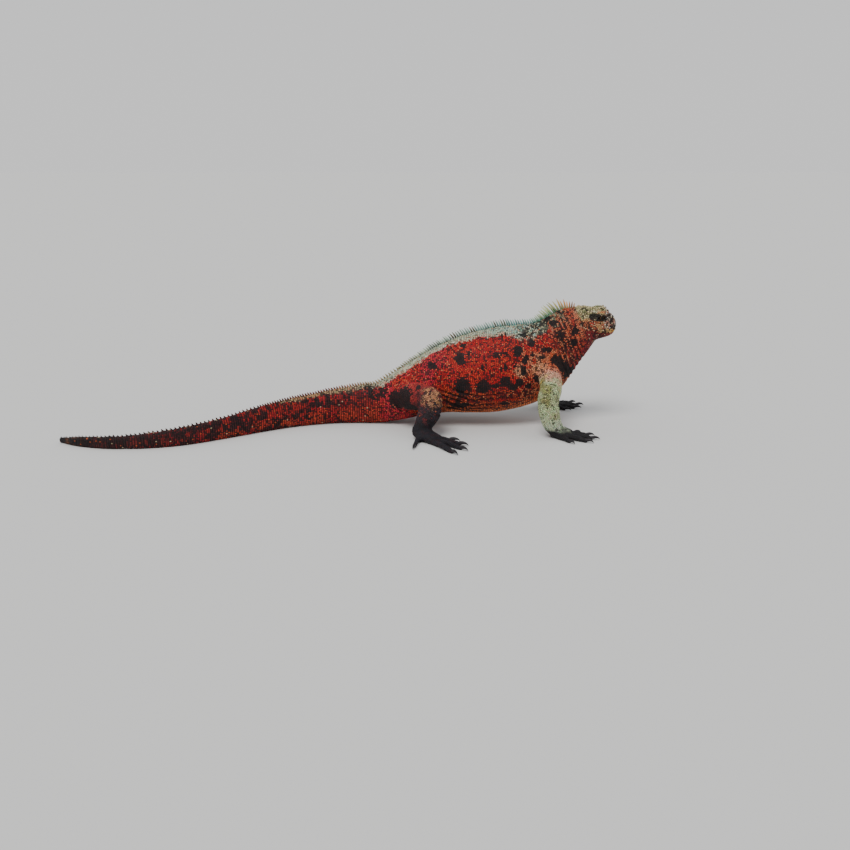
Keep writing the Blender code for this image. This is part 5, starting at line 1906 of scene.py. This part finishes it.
def crest_seats(line):
    """Height of the skin along the crest's line, and its slope there over a stretch of some millimetres."""
    tops = [SKIN_TREE.ray_cast(Vector((row[1], row[2], OVERHEAD)), Vector((0, 0, -1)))[0] for row in line]
    tops = np.array([top.z if top is not None else 0.0 for top in tops])
    padded = np.pad(tops, EVENED, mode="edge")
    even = np.convolve(padded, np.ones(2 * EVENED + 1) / (2 * EVENED + 1), mode="valid")
    return tops, np.gradient(even, line[:, 0])


print("the crest is", round(crest_line()[-1, 0]), "mm long")


# %% Shape one spine
def blade(root, facing_up, back, height, length, lean, bend):
    """Rings of one spine, from its root to its tip."""
    side = np.cross(back, (0, 0, 1.0))
    up = facing_up - side * (facing_up @ side)
    up /= np.linalg.norm(up)
    ahead = np.cross(up, side)
    angle = 2 * np.pi * np.arange(BLADE_SIDES) / BLADE_SIDES
    rings = []
    for share, wide, thick in BLADE:
        tilt = math.radians(lean) * (0.35 + 0.55 * share)
        away = height * share * math.tan(tilt) * (1 if ahead @ back > 0 else -1)
        middle = root + up * (height * share - BLADE_ROOT * (share == 0))
        middle = middle + ahead * away + side * bend * share**2
        across = np.outer(np.cos(angle) * wide * length / 2, ahead)
        across += np.outer(np.sin(angle) * thick * BLADE_THICK * length / 2, side)
        rings.append(middle + across)
    rings[-1] = rings[-1][:1]
    return rings


# %% Grow the crest
def grow_crest():
    """All spines as arrays of points, colours, map places and faces."""
    line, steps = crest_line(), np.array(CREST_STEPS)
    tops, slopes = crest_seats(line)
    tips = np.array([row[1] for row in SPINE_COLOURS], float)
    roots = np.array([row[2] for row in SPINE_COLOURS], float)
    at = np.array([row[0] for row in SPINE_COLOURS])
    points, colours, places, quads, caps = [], [], [], [], []
    due, sides = 0.0, BLADE_SIDES
    # Painted shade: blades darken towards their front and rear edges, where neighbouring blades overlap
    edge_painted_shade = 1.1 - 0.62 * np.abs(np.cos(2 * np.pi * np.arange(sides) / sides)) ** 3
    for (distance, x, y, back_x, back_y), top, slope in zip(line, tops, slopes):
        if distance < due or top == 0:
            continue
        height, pitch, length, lean = (np.interp(distance, steps[:, 0], steps[:, k]) for k in range(1, 5))
        facing_up = np.array((-slope * back_x, -slope * back_y, 1)) / math.hypot(slope, 1)
        due = distance + pitch * facing_up[2]
        height *= rng.uniform(0.88, 1.1)
        bend = rng.normal(0, 0.035) * height
        back = np.array((back_x, back_y, 0))
        lean *= rng.uniform(0.85, 1.15)
        rings = blade(np.array((x, y, top)), facing_up, back, height, length, lean, bend)
        tip = rgb(*[np.interp(distance, at, tips[:, k]) for k in range(3)])
        root = rgb(*[np.interp(distance, at, roots[:, k]) for k in range(3)])
        base = sum(len(block) for block in points)
        brown = rng.random() < max(bell(distance - middle, 5) for middle in BROWN_SPOTS)
        shade = math.exp(rng.normal(0, 0.25)) * (SPINE_BROWN if brown else 1)
        for ring, (share, _, _) in zip(rings, BLADE):
            colour = root + (tip - root) * float(soft(0.0, 0.7, share))
            points.append(ring)
            colours.append(np.outer(edge_painted_shade[: len(ring)], colour * shade))
            spot = np.array((0.02 + 0.96 * (distance % 100) / 100, 0.05 + 0.1 * (distance // 100)))
            places.append(np.tile(spot + (0, 0.003 * share), (len(ring), 1)))
        last = base + (len(BLADE) - 2) * sides
        quads += [ring_faces(a, sides) for a in range(base, last, sides)]
        caps.append(cap_faces(last, sides))
    print("spines:", len(caps))
    return [np.vstack(block) for block in (points, colours, places, quads, caps)]


place_piece(mesh_object("crest_spines", *grow_crest()), "flank_skin")

# %% [markdown]
# Claws are curved cones of black horn, deeper than wide, that arch down to the ground. Eyes are glossy
# balls behind the lids, with a round pupil in a brown iris.

# %% Shape one claw
CLAW_SEAT = 0.6  # how far its root lies behind the end of the toe
CLAW_RISE = 0.75
CLAW_ROOT = 3  # how deep it sits in the toe
# Rings of a claw: share of its length, width, and how high the middle lies
CLAW_SHAPE = (
    (0, 1, 0.5),
    (0.2, 0.93, 1.0),
    (0.4, 0.78, 1.1),
    (0.6, 0.6, 0.8),
    (0.75, 0.46, 0.2),
    (0.93, 0.16, -1.6),
)
CLAW_SIDES = 14


def claw_rings(limb, side, digit):
    """The rings of one claw, from inside the toe to its point."""
    length, radius = LIMBS[limb]["claw"]
    origin, direction, reach_out, _ = digit_line(limb, side, digit)
    tip = origin + direction * (reach_out - CLAW_SEAT)
    across = np.cross(direction, (0, 0, 1.0))
    rings = []
    for reach_share, wide, lift in smooth_rows(CLAW_SHAPE, 3):
        middle = tip + direction * reach_share * length + (0, 0, radius + CLAW_RISE + lift)
        half = radius * wide
        rings.append(section(middle, across, (0, 0, 1), half * 0.8, half * 0.98, half * 0.9, 2, CLAW_SIDES))
    inside = tip - direction * CLAW_ROOT + (0, 0, radius + CLAW_RISE)
    root = section(inside, across, (0, 0, 1), radius * 0.78, radius * 0.9, radius * 0.9, 2, CLAW_SIDES)
    return [root, *rings]


print("rings of one claw:", len(claw_rings("fore", "right", LIMBS["fore"]["digits"][0])))


# %% Grow the claws
def claw_piece(limb, side):
    """The five claws of one foot as one piece."""
    points, colours, places, quads, caps = [], [], [], [], []
    base, sides = 0, CLAW_SIDES
    for number, digit in enumerate(LIMBS[limb]["digits"]):
        rings = claw_rings(limb, side, digit)
        levels = len(rings)
        points += rings + [rings[-1].mean(axis=0)[None]]
        for level in range(levels + 1):
            share = level / levels
            colour = rgb(38, 34, 38) * (1 - share) + rgb(14, 12, 14) * share
            count = sides if level < levels else 1
            colours.append(np.tile(colour, (count, 1)))
            angle = 2 * np.pi * np.arange(count) / sides
            u = 0.1 + 0.18 * number + 0.14 * angle / (2 * np.pi)
            places.append(np.column_stack((u, np.full(count, 0.1 + 0.8 * share))))
        last = base + (levels - 1) * sides
        quads += [ring_faces(a, sides) for a in range(base, last, sides)]
        caps.append(cap_faces(last, sides))
        base = last + sides + 1
    blocks = [np.vstack(block) for block in (points, colours, places, quads, caps)]
    return mesh_object(f"claws_{limb}_{side}", *blocks)


for limb, side in STANCE:
    made = claw_piece(limb, side)
    place_piece(made, "claw_horn", *[f"claw_{limb}_{side}_{number}" for number in range(1, 6)])
print("claws on", len(STANCE), "feet")

# %% Eyes
GAZE = (0.16, 0.98, -0.05)  # where the eye looks, with y outwards
PUPIL, IRIS = 20, 50  # half angles in degrees

for side, way_out in SIDES.items():
    bm = bmesh.new()
    bmesh.ops.create_uvsphere(bm, u_segments=64, v_segments=40, radius=EYE["radius"] * MM)
    gaze = Vector((GAZE[0], GAZE[1] * way_out, GAZE[2])).normalized()
    bm.transform(gaze.to_track_quat("Z", "Y").to_matrix().to_4x4())
    mesh = bpy.data.meshes.new(f"eyeball_{side}")
    bm.to_mesh(mesh)
    bm.free()
    spots = np.empty(len(mesh.vertices) * 3)
    mesh.vertices.foreach_get("co", spots)
    spots = spots.reshape(-1, 3) / MM
    off = np.degrees(np.arccos(np.clip(spots @ np.array(gaze) / EYE["radius"], -1, 1)))
    streak = noise(spots / np.maximum(np.sin(np.radians(off)), 0.1)[:, None], 0.9, 70)
    colour = mix(np.tile(rgb(4, 3, 3), (len(off), 1)), rgb(44, 25, 15), soft(PUPIL - 2, PUPIL + 2, off))
    colour = mix(colour, rgb(96, 66, 34), (0.2 + 0.6 * streak) * bell(off - PUPIL - 5, 5))
    colour = mix(colour, rgb(10, 7, 6), soft(IRIS - 12, IRIS, off))
    give_paint(mesh, colour)
    mesh.polygons.foreach_set("use_smooth", np.ones(len(mesh.polygons), bool))
    eye = bpy.data.objects.new(f"eyeball_{side}", mesh)
    bpy.context.scene.collection.objects.link(eye)
    eye.location = Vector((np.array(EYE["centre"]) * (1, way_out, 1) + SHIFT) * MM)
    place_piece(eye, "eye_ball", f"eye_{side}")
print("eyes of", EYE["radius"] * 2, "mm")

# %% [markdown]
# The light is that of a hazy day. The sky is a gradient, brightest overhead, and at its edge it has the
# tone of the lit floor, so that floor and sky meet without a line. One sun, spread over a wide angle, gives
# soft shadows everywhere alike.

# %% Light and floor
FLOOR_TONE = (0.62, 0.62, 0.61)
EDGE_TONE = (1.12, 1.12, 1.12)
ZENITH_TONE = (1.0, 1.02, 1.06)
SUN_WAY = (-0.25, -0.62, 1)  # from where the sun shines
FLOOR_SIZE = 60  # metres, so that its edge is out of sight

sun = bpy.data.lights.new("sun", "SUN")
sun.energy = 2.3
sun.angle = math.radians(28)
sun.color = (1, 0.98, 0.95)
lamp = bpy.data.objects.new("sun", sun)
lamp.rotation_euler = Vector(SUN_WAY).to_track_quat("Z", "Y").to_euler()
bpy.context.scene.collection.objects.link(lamp)

world = bpy.data.worlds.new("sky")
world.use_nodes = True
sky = world.node_tree
where = add_node(sky, "TexCoord")
split = add_node(sky, "SeparateXYZ")
ramp = add_node(sky, "MapRange", {"From Min": 0.06, "From Max": 0.75})
blend = add_node(sky, "Mix")
blend.data_type = "RGBA"
blend.inputs["A"].default_value = (*EDGE_TONE, 1)
blend.inputs["B"].default_value = (*ZENITH_TONE, 1)
glow = sky.nodes["Background"]
glow.inputs["Strength"].default_value = 0.75
join(
    sky,
    (where, "Generated", split, "Vector"),
    (split, "Z", ramp, "Value"),
    (ramp, "Result", blend, "Factor"),
    (blend, "Result", glow, "Color"),
)
bpy.context.scene.world = world

bpy.ops.mesh.primitive_plane_add(size=FLOOR_SIZE, location=(0, 0, 0))
floor = bpy.context.object
floor.name = "floor"
paper = bpy.data.materials.new("paper")
paper.use_nodes = True
surface = paper.node_tree.nodes["Principled BSDF"]
surface.inputs["Base Color"].default_value = (*FLOOR_TONE, 1)
surface.inputs["Roughness"].default_value = 1.0
surface.inputs["Specular IOR Level"].default_value = 0.0
floor.data.materials.append(paper)
print("sun, sky and floor in place")
